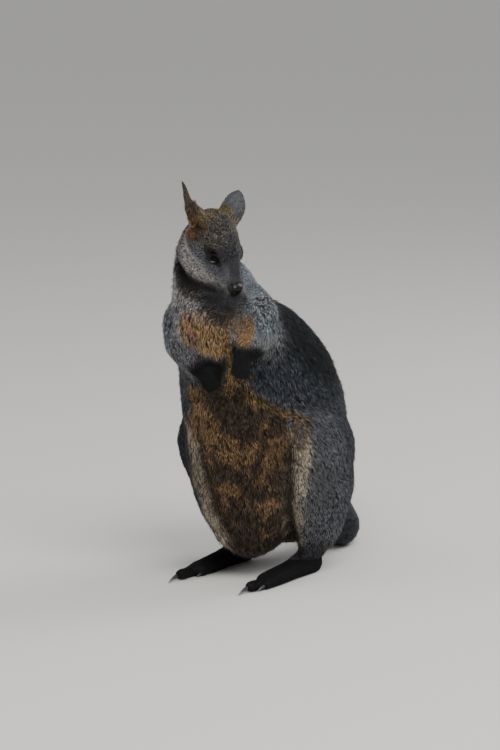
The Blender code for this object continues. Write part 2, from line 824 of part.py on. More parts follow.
def part_off_arms(body, pieces):
    for word, place in HANDS.items():
        pieces["hand_" + word] = part_off(body, "hand_" + word, *HAND_BOX, place)
    for word, side in SIDES.items():
        low, high = sided(side, SHOULDER_IN, WIDE)
        low_corner = (low, AHEAD, ELBOW_CUT[word] + GAP)
        high_corner = (high, SHOULDER_BACK, NECK_CUT - GAP)
        pieces["upper_arm_" + word] = part_off(body, "upper_arm_" + word, low_corner, high_corner)
    for word, stations in (("right", RIGHT_FOREARM), ("left", LEFT_FOREARM)):
        place, length = forearm_place(stations)
        low_corner = (-HALF_FOREARM, -BEHIND_ELBOW, -HALF_FOREARM)
        high_corner = (HALF_FOREARM, length + PAST_WRIST, HALF_FOREARM)
        pieces["forearm_" + word] = part_off(body, "forearm_" + word, low_corner, high_corner, place)


def part_off_legs(body, pieces):
    for word, side in SIDES.items():
        low, high = sided(side, FOOT_IN, FOOT_OUT)
        low_corner = (low, BEFORE_KNEES, UNDER_FLOOR)
        high_corner = (high, BEHIND_HEELS, ANKLE_CUT)
        pieces["foot_" + word] = part_off(body, "foot_" + word, low_corner, high_corner)
    for word, side in SIDES.items():
        low, high = sided(side, SHANK_IN, WIDE)
        low_corner = (low, BEFORE_KNEES, ANKLE_CUT + GAP)
        high_corner = (high, BEHIND_HAMS, KNEE_CUT)
        pieces["shank_" + word] = part_off(body, "shank_" + word, low_corner, high_corner)
        low, high = sided(side, HIP_IN[word], WIDE)
        low_corner = (low, BEFORE_KNEES, KNEE_CUT + GAP)
        high_corner = (high, HIP_BACK, THIGH_TOP)
        pieces["thigh_" + word] = part_off(body, "thigh_" + word, low_corner, high_corner)


def part_off_tail(body, pieces):
    """Square cuts across the tail where it lies, and a level one behind the rump."""
    place = Matrix.Translation(TAIL_LIES_FROM) @ Matrix.Rotation(-math.radians(TAIL_TURN), 4, "Z")
    first, second = TAIL_CUTS
    spans = {"tail_tip": (second, TAIL_END), "tail_middle": (first, second - GAP)}
    for name, (start, end) in spans.items():
        low_corner = (-TAIL_CLEAR, start, UNDER_FLOOR)
        high_corner = (TAIL_CLEAR, end, TAIL_OVER)
        pieces[name] = part_off(body, name, low_corner, high_corner, place)
    low_corner = (-TAIL_CLEAR, TAIL_ROOT_CUT, UNDER_FLOOR)
    high_corner = (TAIL_CLEAR, TAIL_END, TAIL_ROOT_TOP)
    pieces["tail_base"] = part_off(body, "tail_base", low_corner, high_corner)


def parted_body(body):
    """Names the pieces of the fused body, from the head down to the tail."""
    pieces = {}
    at_head = head_matrix()
    skull = part_off(body, "head", *HEAD_BOX, at_head)
    pieces["muzzle"] = part_off(skull, "muzzle", *MUZZLE_BOX, at_head)
    pieces["lower_jaw"] = part_off(skull, "lower_jaw", *JAW_BOX, at_head)
    pieces["head"] = skull
    neck_low = (NECK_SIDES[0], AHEAD, NECK_CUT)
    neck_high = (NECK_SIDES[1], NECK_BACK, CROWN)
    pieces["neck"] = part_off(body, "neck", neck_low, neck_high)
    part_off_arms(body, pieces)
    chest_top = (WIDE, CHEST_BACK, NECK_CUT - GAP)
    pieces["chest"] = part_off(body, "chest", (-WIDE, AHEAD, CHEST_CUT), chest_top)
    part_off_legs(body, pieces)
    part_off_tail(body, pieces)
    belly_top = (WIDE, BELLY_BACK, CHEST_CUT - GAP)
    pieces["belly"] = part_off(body, "belly", (-WIDE, AHEAD, CRUTCH_CUT), belly_top)
    rump_low = (-WIDE, BELLY_BACK + GAP, CRUTCH_CUT)
    pieces["rump"] = part_off(body, "rump", rump_low, (WIDE, RUMP_BACK, RUMP_TOP))
    pieces["back"] = body
    return pieces


COATS = {
    "head": ("head fur", GREY_COAT),
    "muzzle": ("dark fur", DARK_COAT),
    "lower_jaw": ("dark fur", DARK_COAT),
    "neck": ("grizzled fur", GREY_COAT),
    "chest": ("rufous fur", RUFOUS_COAT),
    "belly": ("rufous fur", RUFOUS_COAT),
    "back": ("back fur", DARK_COAT),
    "rump": ("back fur", DARK_COAT),
}


def coat_of(name):
    if name in COATS:
        return COATS[name]
    if name.startswith(("hand", "foot", "tail", "forearm")):
        return ("black fur", BLACK_SKIN)
    if name.startswith("upper_arm"):
        return ("pale grey fur", PALE_GREY_COAT)
    return ("grizzled fur", GREY_COAT)


def dress(obj, name, colour, roughness):
    obj.data.materials.clear()
    obj.data.materials.append(material(name, colour, roughness))
    obj.data.shade_smooth()
    obj.data.set_sharp_from_angle(angle=math.radians(SHARP_ANGLE))


def centre_on_floor(objects):
    """Moves everything so that the origin is under the middle of the whole box, on the floor."""
    bpy.context.view_layer.update()
    points = [v.co for o in objects for v in o.data.vertices]
    low = Vector(min(p[i] for p in points) for i in range(3))
    high = Vector(max(p[i] for p in points) for i in range(3))
    shift = Matrix.Translation((-(low.x + high.x) / 2, -(low.y + high.y) / 2, -low.z))
    for obj in objects:
        obj.data.transform(shift)


def main():
    clear_scene()
    body = fused_body()
    eyes = [eye(side, "eye_" + word) for word, side in SIDES.items()]
    nose = nose_pad()
    ears = [ear(name) for name in EARS]
    claws = []
    for word, side in SIDES.items():
        claws += toe_claws(side, word) + finger_claws(word)
    for leaf in ears:
        trim(leaf, body)
    for bare in eyes + [nose] + claws:
        scoop(body, bare, GAP)
    largest_piece(body)
    pieces = parted_body(body)

    for name, piece in pieces.items():
        piece.name = name
        coat, colour = coat_of(name)
        dress(piece, coat, colour, FUR_ROUGHNESS)
    for ball in eyes:
        dress(ball, "eye", WET_EYE, WET_ROUGHNESS)
    dress(nose, "nose leather", BLACK_SKIN, LEATHER_ROUGHNESS)
    for leaf in ears:
        dress(leaf, "ear skin", GREY_COAT, SKIN_ROUGHNESS)
    for nail in claws:
        dress(nail, "claw horn", HORN, HORN_ROUGHNESS)
    centre_on_floor(list(pieces.values()) + eyes + [nose] + ears + claws)


main()
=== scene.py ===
# %% [markdown]
# # A swamp wallaby as a museum shows it
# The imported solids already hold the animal's true outline, out to the tips of its coat.
# This script turns them into a living surface: one skin a little inside the solids, a coat
# of small solid tufts over it, and eyes, nose, ears and claws of their own. Everything is
# in metres, with the floor at z = 0, the animal facing -Y and its left side towards +X.

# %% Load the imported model
import math

import bmesh
import bpy
import numpy as np
from mathutils import Matrix, Vector
from mathutils.bvhtree import BVHTree
from mathutils.kdtree import KDTree


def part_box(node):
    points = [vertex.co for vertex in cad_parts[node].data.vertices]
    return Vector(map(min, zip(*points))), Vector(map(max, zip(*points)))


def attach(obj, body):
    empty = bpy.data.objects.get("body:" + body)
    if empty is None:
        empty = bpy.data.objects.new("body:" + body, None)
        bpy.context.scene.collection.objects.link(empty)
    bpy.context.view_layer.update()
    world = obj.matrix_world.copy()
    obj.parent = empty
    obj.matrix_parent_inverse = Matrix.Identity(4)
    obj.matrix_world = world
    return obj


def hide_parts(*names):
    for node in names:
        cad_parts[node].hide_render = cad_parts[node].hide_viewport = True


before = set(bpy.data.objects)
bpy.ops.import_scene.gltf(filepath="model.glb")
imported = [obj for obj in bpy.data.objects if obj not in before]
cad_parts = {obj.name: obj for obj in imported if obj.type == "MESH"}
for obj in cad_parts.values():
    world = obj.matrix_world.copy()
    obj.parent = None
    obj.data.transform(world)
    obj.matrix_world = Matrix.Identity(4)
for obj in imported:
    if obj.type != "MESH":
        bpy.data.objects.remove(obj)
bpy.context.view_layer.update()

# %% [markdown]
# ## Small helpers
# Colours are written as the hex values that a paint chart gives, and a renderer wants
# linear light, so one function turns the first into the second. A second function adds a
# node to a material with its settings and its links in one go.

# %% Colour and node helpers
def linear(hex_colour):
    """A paint-chart colour such as "8a8d92" as three linear numbers."""
    chart = np.array([int(hex_colour[i:i + 2], 16) / 255 for i in (0, 2, 4)])
    return np.where(chart <= 0.04045, chart / 12.92, ((chart + 0.055) / 1.055) ** 2.4)


def add_node(tree, kind, settings=None, values=None, links=None):
    """A node of this kind, with attributes, socket values and incoming links set."""
    node = tree.nodes.new(kind)
    for name, value in (settings or {}).items():
        setattr(node, name, value)
    for socket, value in (values or {}).items():
        node.inputs[socket].default_value = value
    for socket, source in (links or {}).items():
        tree.links.new(source, node.inputs[socket])
    return node


def new_material(name, values):
    """A material with its own Principled shader, and the tree and shader to add to."""
    made = bpy.data.materials.new(name)
    made.use_nodes = True
    shader = made.node_tree.nodes["Principled BSDF"]
    for socket, value in values.items():
        shader.inputs[socket].default_value = value
    return made, made.node_tree, shader


def rgba(hex_colour):
    return (*linear(hex_colour), 1.0)


# %% Soft shapes and soft noise, used for folds, markings and the coat
def unit(vectors):
    """Each vector at a length of 1."""
    return vectors / np.maximum(np.linalg.norm(vectors, axis=1, keepdims=True), 1e-9)


def distance_to(places, spot):
    """How far each place is from one spot."""
    return np.linalg.norm(places - np.array(spot), axis=1)


def bell(distance, reach):
    """1 at no distance, and fading smoothly beyond the reach."""
    return np.exp(-((distance / reach) ** 2))


def rise(low, high, value):
    """0 below low, 1 above high, and smooth between; the other way round if low is the larger."""
    share = np.clip((value - low) / (high - low), 0, 1)
    return share * share * (3 - 2 * share)


def distance_to_line(places, line):
    """How far each place is from a line of points."""
    line = np.array(line)
    best = np.full(len(places), 1e9)
    for start, end in zip(line, line[1:]):
        along = end - start
        share = np.clip((places - start) @ along / (along @ along), 0, 1)
        gap = np.linalg.norm(places - start - share[:, None] * along, axis=1)
        best = np.minimum(best, gap)
    return best


def lattice(cell, seed):
    """A repeatable number from 0 to 1 for each whole-numbered cell of space."""
    mixed = cell[:, 0] * 374761393 + cell[:, 1] * 668265263 + cell[:, 2] * 2147483647 + seed * 1274126177
    mixed = (mixed ^ (mixed >> 13)) * 1103515245
    mixed = mixed ^ (mixed >> 16)
    return (mixed & 0xFFFFFF) / 0xFFFFFF


def noise(places, size, seed=0):
    """Smooth noise from 0 to 1 with bumps of about this size in metres, or one size per axis."""
    scaled = places / np.asarray(size)
    low = np.floor(scaled)
    part = scaled - low
    part = part * part * (3 - 2 * part)
    low = low.astype(np.int64)
    total = np.zeros(len(places))
    for corner in np.ndindex(2, 2, 2):
        weight = np.prod(np.where(np.array(corner), part, 1 - part), axis=1)
        total += weight * lattice(low + np.array(corner), seed)
    return total


# %% [markdown]
# ## Camera, light and floor
# The camera looks slightly down at the animal's left front quarter from some metres away,
# through a long lens, which keeps the feet and the head at one scale. Three large soft
# lamps stand for an overcast sky: a key from above on the animal's left, a weak fill, and a
# rim light that lifts the coat off the floor.

# %% Camera
LENS_MM = 150.0
SENSOR_MM = 36.0
FRAME_HEIGHT = 1.3125  # metres of the scene that the upright frame takes in
CAMERA_TURN = math.radians(36)
CAMERA_RISE = math.radians(10)
AIM = Vector((0.0816, -0.2606, 0.3609))

camera_data = bpy.data.cameras.new("camera")
camera_data.lens = LENS_MM
camera_data.sensor_width = SENSOR_MM
camera = bpy.data.objects.new("camera", camera_data)
bpy.context.scene.collection.objects.link(camera)
back = Vector((
    math.sin(CAMERA_TURN) * math.cos(CAMERA_RISE),
    -math.cos(CAMERA_TURN) * math.cos(CAMERA_RISE),
    math.sin(CAMERA_RISE),
))
camera.location = AIM + back * (FRAME_HEIGHT * LENS_MM / SENSOR_MM)
camera.rotation_mode = "QUATERNION"
camera.rotation_quaternion = (-back).to_track_quat("-Z", "Y")
bpy.context.scene.camera = camera
print("camera at", tuple(round(v, 2) for v in camera.location))

# %% Light and floor
def soft_lamp(name, place, size, power, colour):
    """A square lamp aimed at the animal."""
    data = bpy.data.lights.new(name, "AREA")
    data.size = size
    data.energy = power
    data.color = linear(colour)
    lamp = bpy.data.objects.new(name, data)
    bpy.context.scene.collection.objects.link(lamp)
    lamp.location = place
    lamp.rotation_mode = "QUATERNION"
    lamp.rotation_quaternion = (Vector(place) - AIM).to_track_quat("Z", "Y")


soft_lamp("key", (2.2, -1.6, 3.2), 2.0, 120, "fffcf6")
soft_lamp("fill", (-2.6, -2.4, 1.6), 2.6, 34, "f8f7f4")
soft_lamp("rim", (1.4, 2.6, 2.8), 1.8, 70, "fbfaf7")

world = bpy.data.worlds.new("studio")
bpy.context.scene.world = world
world.use_nodes = True
sky = world.node_tree.nodes["Background"]
sky.inputs["Color"].default_value = rgba("eeeeee")
sky.inputs["Strength"].default_value = 0.62

FLOOR_REACH = 45.0
floor_mesh = bpy.data.meshes.new("floor")
bm = bmesh.new()
bmesh.ops.create_circle(bm, cap_ends=True, segments=64, radius=FLOOR_REACH)
bm.to_mesh(floor_mesh)
bm.free()
floor = bpy.data.objects.new("floor", floor_mesh)
bpy.context.scene.collection.objects.link(floor)
floor_finish, _, _ = new_material("painted floor", {"Base Color": rgba("d9d8d5"), "Roughness": 0.8})
floor_mesh.materials.append(floor_finish)
print("floor, m across:", 2 * FLOOR_REACH)

# %% [markdown]
# ## The head's own frame
# Eyes, lids, nose and whiskers are easiest to place from the skull: x to the animal's
# left, -y along the muzzle and z out of the crown. The two eye solids give the x axis, and
# the nose pad gives the line of the muzzle, which drops a known angle from the y axis.

# %% Head frame from the eyes and the nose
NOSE_DROP = math.radians(17.2)
BETWEEN_EYES = Vector((0.0, -0.0040, -0.0045))  # the middle of the eyes, in the head's frame


def centre_of(node):
    low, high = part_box(node)
    return (low + high) / 2


def frame_of_head():
    left, right = centre_of("eye_left"), centre_of("eye_right")
    middle = (left + right) / 2
    x = (left - right).normalized()
    muzzle = centre_of("nose_pad") - middle
    muzzle = (muzzle - x * muzzle.dot(x)).normalized()
    y = -(Matrix.Rotation(-NOSE_DROP, 3, x) @ muzzle)
    z = x.cross(y)
    turn = Matrix((x, y, z)).transposed()
    return middle - turn @ BETWEEN_EYES, turn


head_origin, head_turn = frame_of_head()
HEAD = np.array(head_turn)
HEAD_AT = np.array(head_origin)


def to_head(points):
    """Points of the animal in the head's frame."""
    return (points - HEAD_AT) @ HEAD


def from_head(points):
    return np.asarray(points) @ HEAD.T + HEAD_AT


def folded(places):
    """Places in the head's frame with the right side laid over the left."""
    return np.abs(places) * [1, 0, 0] + places * [0, 1, 1]


print("nose pad in the head's frame, mm:", np.round(to_head(np.array(centre_of("nose_pad"))) * 1000, 1))

# %% [markdown]
# ## One skin under the coat
# A real hide has no seams, so the pieces of flesh are joined before anything is laid over
# them. Each solid is copied, its loose triangles are merged, and the copies swell by 0.6 mm
# to close the thin cuts between them. A voxel remesh then gives one closed surface with an
# even grain. The face, hands and feet need a finer grain than the trunk, so their edges are
# subdivided and drawn back onto the solids, where the remesh blurred them.

# %% Copy and join the flesh
BARE = ("eye_", "ear_", "claw_", "nose_pad")
SEAM_FILL = 0.0006
SKIN_GRAIN = 0.0046

flesh = [name for name in sorted(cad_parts) if not name.startswith(BARE)]


def merged_copy(node):
    """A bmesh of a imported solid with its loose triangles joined."""
    bm = bmesh.new()
    bm.from_mesh(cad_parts[node].data)
    bmesh.ops.remove_doubles(bm, verts=bm.verts[:], dist=1e-6)
    return bm


solids = bmesh.new()
owner = []
for number, node in enumerate(flesh):
    part = merged_copy(node)
    scratch = bpy.data.meshes.new("scratch")
    part.to_mesh(scratch)
    part.free()
    solids.from_mesh(scratch)
    bpy.data.meshes.remove(scratch)
    owner += [number] * (len(solids.faces) - len(owner))
owner = np.array(owner)
solids.faces.ensure_lookup_table()
outline = BVHTree.FromBMesh(solids)
solids.normal_update()
for vertex in solids.verts:
    vertex.co += vertex.normal * SEAM_FILL
print("flesh:", len(flesh), "solids,", len(solids.faces), "faces")

# %% Remesh them into one surface
def to_object(name, bm):
    """A new object in the scene from a bmesh, which is used up."""
    mesh = bpy.data.meshes.new(name)
    bm.to_mesh(mesh)
    bm.free()
    made = bpy.data.objects.new(name, mesh)
    bpy.context.scene.collection.objects.link(made)
    return made


def apply_modifiers(obj):
    graph = bpy.context.evaluated_depsgraph_get()
    settled = bpy.data.meshes.new_from_object(obj.evaluated_get(graph))
    obj.modifiers.clear()
    loose = obj.data
    obj.data = settled
    bpy.data.meshes.remove(loose)
    settled.name = obj.name


skin = to_object("skin", solids)
remesh = skin.modifiers.new("One surface", "REMESH")
remesh.mode = "VOXEL"
remesh.voxel_size = SKIN_GRAIN
apply_modifiers(skin)


def read(items, name, width, kind=np.float64):
    """One number or vector for each item of a mesh, as an array."""
    flat = np.empty(len(items) * width, kind)
    items.foreach_get(name, flat)
    return flat.reshape(-1, width) if width > 1 else flat


def note(mesh, name, values):
    """Stores one number for each point of a mesh, which the mesh's finish can read."""
    mesh.attributes.new(name, "FLOAT", "POINT").data.foreach_set("value", values)


def nearest_solid(points):
    """For each point, the number of the solid it is nearest to, and the nearest place on it."""
    number = np.empty(len(points), int)
    place = np.empty((len(points), 3))
    for i, point in enumerate(points):
        spot, _, face, _ = outline.find_nearest(point)
        number[i] = owner[face]
        place[i] = spot
    return number, place


def edge_ends(mesh):
    return read(mesh.edges, "vertices", 2, np.int32)


def spread(values, ends, rounds, share=0.5):
    """Values eased towards the mean of their neighbours', a few times. share may differ by point."""
    count = np.bincount(ends.ravel(), minlength=len(values)).astype(float)
    values = values.astype(float).reshape(len(values), -1)
    share = np.asarray(share, float).reshape(-1, 1)
    here, there = ends.T
    for _ in range(rounds):
        around = np.empty_like(values)
        for column, v in enumerate(values.T):
            total = np.bincount(here, v[there], len(v)) + np.bincount(there, v[here], len(v))
            around[:, column] = total / count
        values = values + share * (around - values)
    return values


def in_nodes(number, *words):
    """True for each point whose solid's name starts with one of these words."""
    chosen = np.array([name.startswith(words) for name in flesh])
    return chosen[number]


points = read(skin.data.vertices, "co", 3)
number, _ = nearest_solid(points)
FINE = ("head", "muzzle", "lower_jaw", "hand", "foot")
fine = in_nodes(number, *FINE)
points = spread(points, edge_ends(skin.data), 10, np.where(fine, 0.1, 0.5))
skin.data.vertices.foreach_set("co", points.ravel())
print("skin:", len(points), "points after the remesh")

# %% Finer grain on the face, hands and feet
def refine(obj, chosen):
    """Splits each edge between two chosen points, and fills the faces between."""
    bm = bmesh.new()
    bm.from_mesh(obj.data)
    bm.verts.ensure_lookup_table()
    edges = [e for e in bm.edges if chosen[e.verts[0].index] and chosen[e.verts[1].index]]
    bmesh.ops.subdivide_edges(bm, edges=edges, cuts=1, use_grid_fill=True)
    bm.to_mesh(obj.data)
    bm.free()
    return read(obj.data.vertices, "co", 3)


FACE_REACH = 0.030  # how far behind the eyes the finest grain runs
FACE_FOOT = -0.045  # and how far below them
points = refine(skin, fine)
head_places = to_head(points)
number, _ = nearest_solid(points)
face = in_nodes(number, "head", "muzzle", "lower_jaw") & (head_places[:, 1] < FACE_REACH)
face &= head_places[:, 2] > FACE_FOOT
points = refine(skin, face)

number, place = nearest_solid(points)
fine = in_nodes(number, *FINE)
ends = edge_ends(skin.data)
points[fine] = place[fine]
points = spread(points, ends, 4, np.where(fine, 0.45, 0.15))
print("skin:", len(points), "points with the finer parts")

# %% [markdown]
# ## How the coat lies
# On the living animal the coat's length, and the way each hair points, change from part to
# part: short and flat on the muzzle and feet, long and loose on the belly and back. So each
# solid gets a row in one table: how deep the coat is over the skin, how long and wide its
# tufts are, how steeply they rise at the root, and how far apart they stand. The rows are
# given to the skin's points by their nearest solid and then eased over the surface, so that
# no edge shows between two parts.

# %% The coat's table, in millimetres and degrees
COAT_TABLE = {
    # part: depth, length, width, rise, spacing
    "head": (2.6, 6.8, 0.92, 24, 1.14),
    "muzzle": (0.9, 2.9, 0.60, 17, 0.82),
    "lower_jaw": (2.2, 5.6, 0.84, 22, 1.18),
    "neck": (6.8, 12.6, 1.22, 27, 1.66),
    "chest": (8.0, 18.4, 1.44, 28, 1.84),
    "belly": (9.0, 22.4, 1.60, 28, 1.96),
    "back": (8.5, 21.6, 1.52, 24, 1.96),
    "rump": (8.5, 21.6, 1.56, 24, 2.04),
    "upper_arm": (6.0, 13.6, 1.24, 27, 1.65),
    "forearm": (3.0, 8.8, 1.04, 22, 1.41),
    "hand": (1.0, 3.6, 0.76, 18, 1.02),
    "thigh": (7.0, 16.8, 1.40, 24, 1.84),
    "shank": (5.0, 12.8, 1.28, 22, 1.73),
    "foot": (1.2, 4.8, 0.88, 16, 1.30),
    "tail_base": (4.5, 12.0, 1.28, 18, 1.81),
    "tail_middle": (3.5, 9.6, 1.20, 16, 1.73),
    "tail_tip": (3.0, 8.8, 1.12, 16, 1.57),
}


def row_of(node, table):
    """The table's row for a solid, by its full name or its name without the side."""
    return table.get(node) or table[node.rsplit("_", 1)[0]]


coat_rows = np.array([row_of(node, COAT_TABLE) for node in flesh], float)
coat_rows[:, [0, 1, 2, 4]] /= 1000
coat_rows[:, 3] = np.radians(coat_rows[:, 3])
print("parts in the coat's table:", len(COAT_TABLE))

# %% Which way the hair runs on each part
def way(start, end):
    """The way from the middle of one solid to the middle of another."""
    return centre_of(end) - centre_of(start)


def in_head(x, y, z):
    return head_turn @ Vector((x, y, z))


WAYS = {
    "head": in_head(0, 1, -0.30),
    "muzzle": in_head(0, 1, 0.10),
    "lower_jaw": in_head(0, 1, -0.20),
    "neck": Vector((0, 0.25, -1)),
    "chest": Vector((0, 0.12, -1)),
    "belly": Vector((0, 0.10, -1)),
    "back": Vector((0, 0.50, -0.86)),
    "rump": Vector((0, 0.60, -0.80)),
    "upper_arm_left": Vector((0.10, -0.25, -1)),
    "upper_arm_right": Vector((-0.05, -0.10, -1)),
    "forearm_left": way("upper_arm_left", "hand_left"),
    "forearm_right": way("forearm_right", "hand_right"),
    "hand_left": way("hand_left", "claw_finger_3_left"),
    "hand_right": way("hand_right", "claw_finger_3_right"),
    "thigh": Vector((0, 0.42, -0.90)),
    "shank": Vector((0, 0.12, -1)),
    "foot": Vector((0, -1, -0.12)),
    "tail_base": way("rump", "tail_middle"),
    "tail_middle": way("tail_base", "tail_tip"),
    "tail_tip": way("tail_middle", "tail_tip"),
}
way_rows = np.array([row_of(node, WAYS).normalized() for node in flesh])
print("ways of the hair:", len(WAYS))

# %% Lines of the face that the coat, the folds and the markings share
LIP_TO_CHEEK = [
    (0.010, -0.060, -0.031), (0.013, -0.054, -0.031), (0.017, -0.038, -0.033),
    (0.022, -0.026, -0.038), (0.027, -0.014, -0.045), (0.030, 0.005, -0.052),
    (0.033, 0.024, -0.055), (0.036, 0.042, -0.050), (0.036, 0.059, -0.044),
]
JAW_CREASE = [
    (0.008, -0.058, -0.043), (0.015, -0.052, -0.043), (0.025, -0.038, -0.048),
    (0.036, -0.021, -0.058), (0.041, -0.003, -0.068), (0.044, 0.018, -0.080),
    (0.042, 0.041, -0.088), (0.036, 0.065, -0.091),
]
MOUTH = [(0.007, -0.062, -0.039), (0.014, -0.051, -0.042), (0.018, -0.039, -0.043), (0.023, -0.029, -0.047)]
WHISKER_ROW = [(0.012, -0.056, -0.024), (0.016, -0.044, -0.025), (0.020, -0.034, -0.028)]
CHEEK_LINE = [(0.030, 0.002, -0.044), (0.036, 0.024, -0.052), (0.038, 0.048, -0.050)]

# %% Ease the table over the skin, and shorten the coat on the cheeks and round eyes and nose
number, _ = nearest_solid(points)
own_solid = np.zeros((len(points), len(flesh)))
own_solid[np.arange(len(points)), number] = 1.0
share_of_part = spread(own_solid, ends, 14)
skin_coat = share_of_part @ coat_rows

outer = points.copy()  # places on the outline, which the folds and markings are laid out on
at = folded(to_head(outer))
EYE_AT = folded(to_head(np.array([centre_of("eye_left")])))[0]
CHEEK_COAT = coat_rows[flesh.index("head")]
LID_COAT = coat_rows[flesh.index("muzzle")] * [0.9, 0.75, 0.9, 0.8, 0.95]
SHORTER_BY_NOSE = 0.35
of_cheek = rise(0.040, 0.026, distance_to_line(at, CHEEK_LINE))
skin_coat += of_cheek[:, None] * (CHEEK_COAT - skin_coat)
by_eye = rise(0.024, 0.012, distance_to(at, EYE_AT))
skin_coat += by_eye[:, None] * (LID_COAT - skin_coat)
by_nose = rise(-0.040, -0.056, at[:, 1]) * rise(0.030, 0.020, at[:, 0])
skin_coat[:, :3] *= 1 - SHORTER_BY_NOSE * by_nose[:, None]
print("coat length, mm: %.1f to %.1f" % (skin_coat[:, 1].min() * 1000, skin_coat[:, 1].max() * 1000))

# %% Lengthen it round the roots of the ears
EAR_ROOT, EAR_ROOT_REACH = (0.029, 0.086, 0.021), 0.018  # beside each ear, in the head's frame
EAR_SEAM, EAR_SEAM_REACH = (0.036, 0.060, 0.001), 0.012  # below it, where its root meets the head
LEFT_EAR_SHARE = 0.35
LONGER_BY_EAR, DEEPER_BY_EAR = 1.5, 0.6
LONGER_AT_SEAM, WIDER_AT_SEAM = 1.3, 0.3

by_ear = bell(distance_to(at, EAR_ROOT), EAR_ROOT_REACH)
by_ear *= np.where(to_head(outer)[:, 0] > 0, LEFT_EAR_SHARE, 1.0)
by_seam = bell(distance_to(at, EAR_SEAM), EAR_SEAM_REACH)
skin_coat[:, 1] *= 1 + LONGER_AT_SEAM * by_seam
skin_coat[:, 2] *= 1 + WIDER_AT_SEAM * by_seam
skin_coat[:, 1] *= 1 + LONGER_BY_EAR * by_ear
skin_coat[:, 0] *= 1 + DEEPER_BY_EAR * by_ear
print("longest hair by the ears, mm: %.1f" % (skin_coat[by_ear > 0.5, 1].max() * 1000))

# %% Draw the skin in by the coat's depth
def normals_of(obj):
    return read(obj.data.vertex_normals, "vector", 3)


skin.data.vertices.foreach_set("co", points.ravel())
skin.data.update()
outward = unit(spread(normals_of(skin), ends, 3))
points = points - outward * skin_coat[:, :1]
SKIN_LIFT = 0.0004  # the soles and the tail keep this clear of the floor
points[:, 2] = np.maximum(points[:, 2], SKIN_LIFT)
print("coat depth, mm: %.1f to %.1f" % (skin_coat[:, 0].min() * 1000, skin_coat[:, 0].max() * 1000))

# %% [markdown]
# ## Folds of the body
# The animal stands half turned with its weight on its hind feet, so its belly hangs between
# the legs and the coat of the chest and flanks hangs over it. A groove runs down beside the
# belly on each side, another along the fold above it, and a small hollow lies behind the
# left knee. They are laid out by height, and by degrees round a middle line of the trunk.

# %% Grooves beside and above the belly
SPINE_HEIGHTS = (0.050, 0.205, 0.330, 0.430, 0.515)
SPINE_DEPTHS = (-0.133, -0.172, -0.234, -0.308, -0.334)
SPINE_X = 0.0795
BELLY_MIDDLE = 17  # the animal stands half turned, so its belly faces a little to its left
KNEE_HOLLOW = (0.226, -0.288, 0.316)
KNEE_STREAK = [(0.214, -0.300, 0.308), (0.224, -0.314, 0.272)]
GROOVE_DEPTH, CREASE_DEPTH, ROLL_HEIGHT, HOLLOW_DEPTH = 0.0075, 0.0045, 0.0030, 0.0060


def round_the_trunk(places):
    """Degrees round the trunk from straight ahead, positive towards the animal's left."""
    middle = np.interp(places[:, 2], SPINE_HEIGHTS, SPINE_DEPTHS)
    return np.degrees(np.arctan2(places[:, 0] - SPINE_X, middle - places[:, 1]))


def crease_height(turn):
    """How high the fold above the belly runs, which drops towards the left knee."""
    turns = (-40, -12, 0, 17, 33, 44, 58, 66)
    return np.interp(turn, turns, (0.315, 0.330, 0.338, 0.347, 0.347, 0.330, 0.313, 0.300))


def beside_belly(places, turn):
    """How near each place is to the groove down each side of the belly, from 0 to 1."""
    z = places[:, 2]
    left = np.interp(z, (0.07, 0.15, 0.21, 0.25, 0.28), (39, 39, 41, 45, 50))
    right = np.interp(z, (0.13, 0.19, 0.24), (0, -4, -9))
    upright = rise(0.295, 0.265, z) * rise(0.055, 0.080, z)
    return np.maximum(bell(turn - left, 3.6), 0.7 * bell(turn - right, 3.6)) * upright


def body_folds(places, number):
    """How far each place is pressed inwards by the grooves."""
    turn = round_the_trunk(places)
    z = places[:, 2]
    pressed = GROOVE_DEPTH * beside_belly(places, turn)
    over = rise(-34, -20, turn) * rise(62, 50, turn)
    pressed += CREASE_DEPTH * bell(z - crease_height(turn) + 0.004, 0.008) * over
    pressed -= ROLL_HEIGHT * bell(z - crease_height(turn) - 0.016, 0.011) * over
    pressed += HOLLOW_DEPTH * bell(distance_to(places, KNEE_HOLLOW), 0.011)
    return pressed * in_nodes(number, "belly", "thigh", "shank", "back")


# %% [markdown]
# ## Folds of the face
# The solids give the skull's wedge and the cheeks. What the skin adds is shallow: the line
# of the closed mouth under the pale upper lip, the hollow in front of each eye where tears
# run, the swell of the whisker pad, and the crease under the jaw that parts the head from
# the throat. Each is a line of a few points in the head's frame, the same on both sides,
# and pushes the skin in or out by a bell-shaped amount around it.

# %% Press the folds into the skin
# name: (line in the head's frame, reach, depth inwards)
FOLDS = {
    "mouth": ([
        (0.000, -0.066, -0.0335), (0.008, -0.061, -0.0370), (0.0130, -0.052, -0.0400),
        (0.0175, -0.038, -0.0410), (0.0215, -0.027, -0.0440),
    ], 0.0018, 0.0022),
    "tear hollow": ([(0.0220, -0.018, -0.0085), (0.0165, -0.029, -0.0160)], 0.0060, 0.0018),
    "under the eye": ([(0.0290, 0.004, -0.0185), (0.0255, -0.014, -0.0195)], 0.0045, 0.0014),
    "whisker pad": ([(0.0140, -0.050, -0.0300), (0.0165, -0.036, -0.0320)], 0.0070, -0.0012),
    "brow": ([(0.0225, -0.014, 0.0075), (0.0275, 0.004, 0.0085)], 0.0045, -0.0014),
    "cheek": ([(0.0300, 0.004, -0.0500), (0.0360, 0.040, -0.0550)], 0.0130, -0.0016),
    "under the jaw": (JAW_CREASE, 0.0090, 0.0120),
}

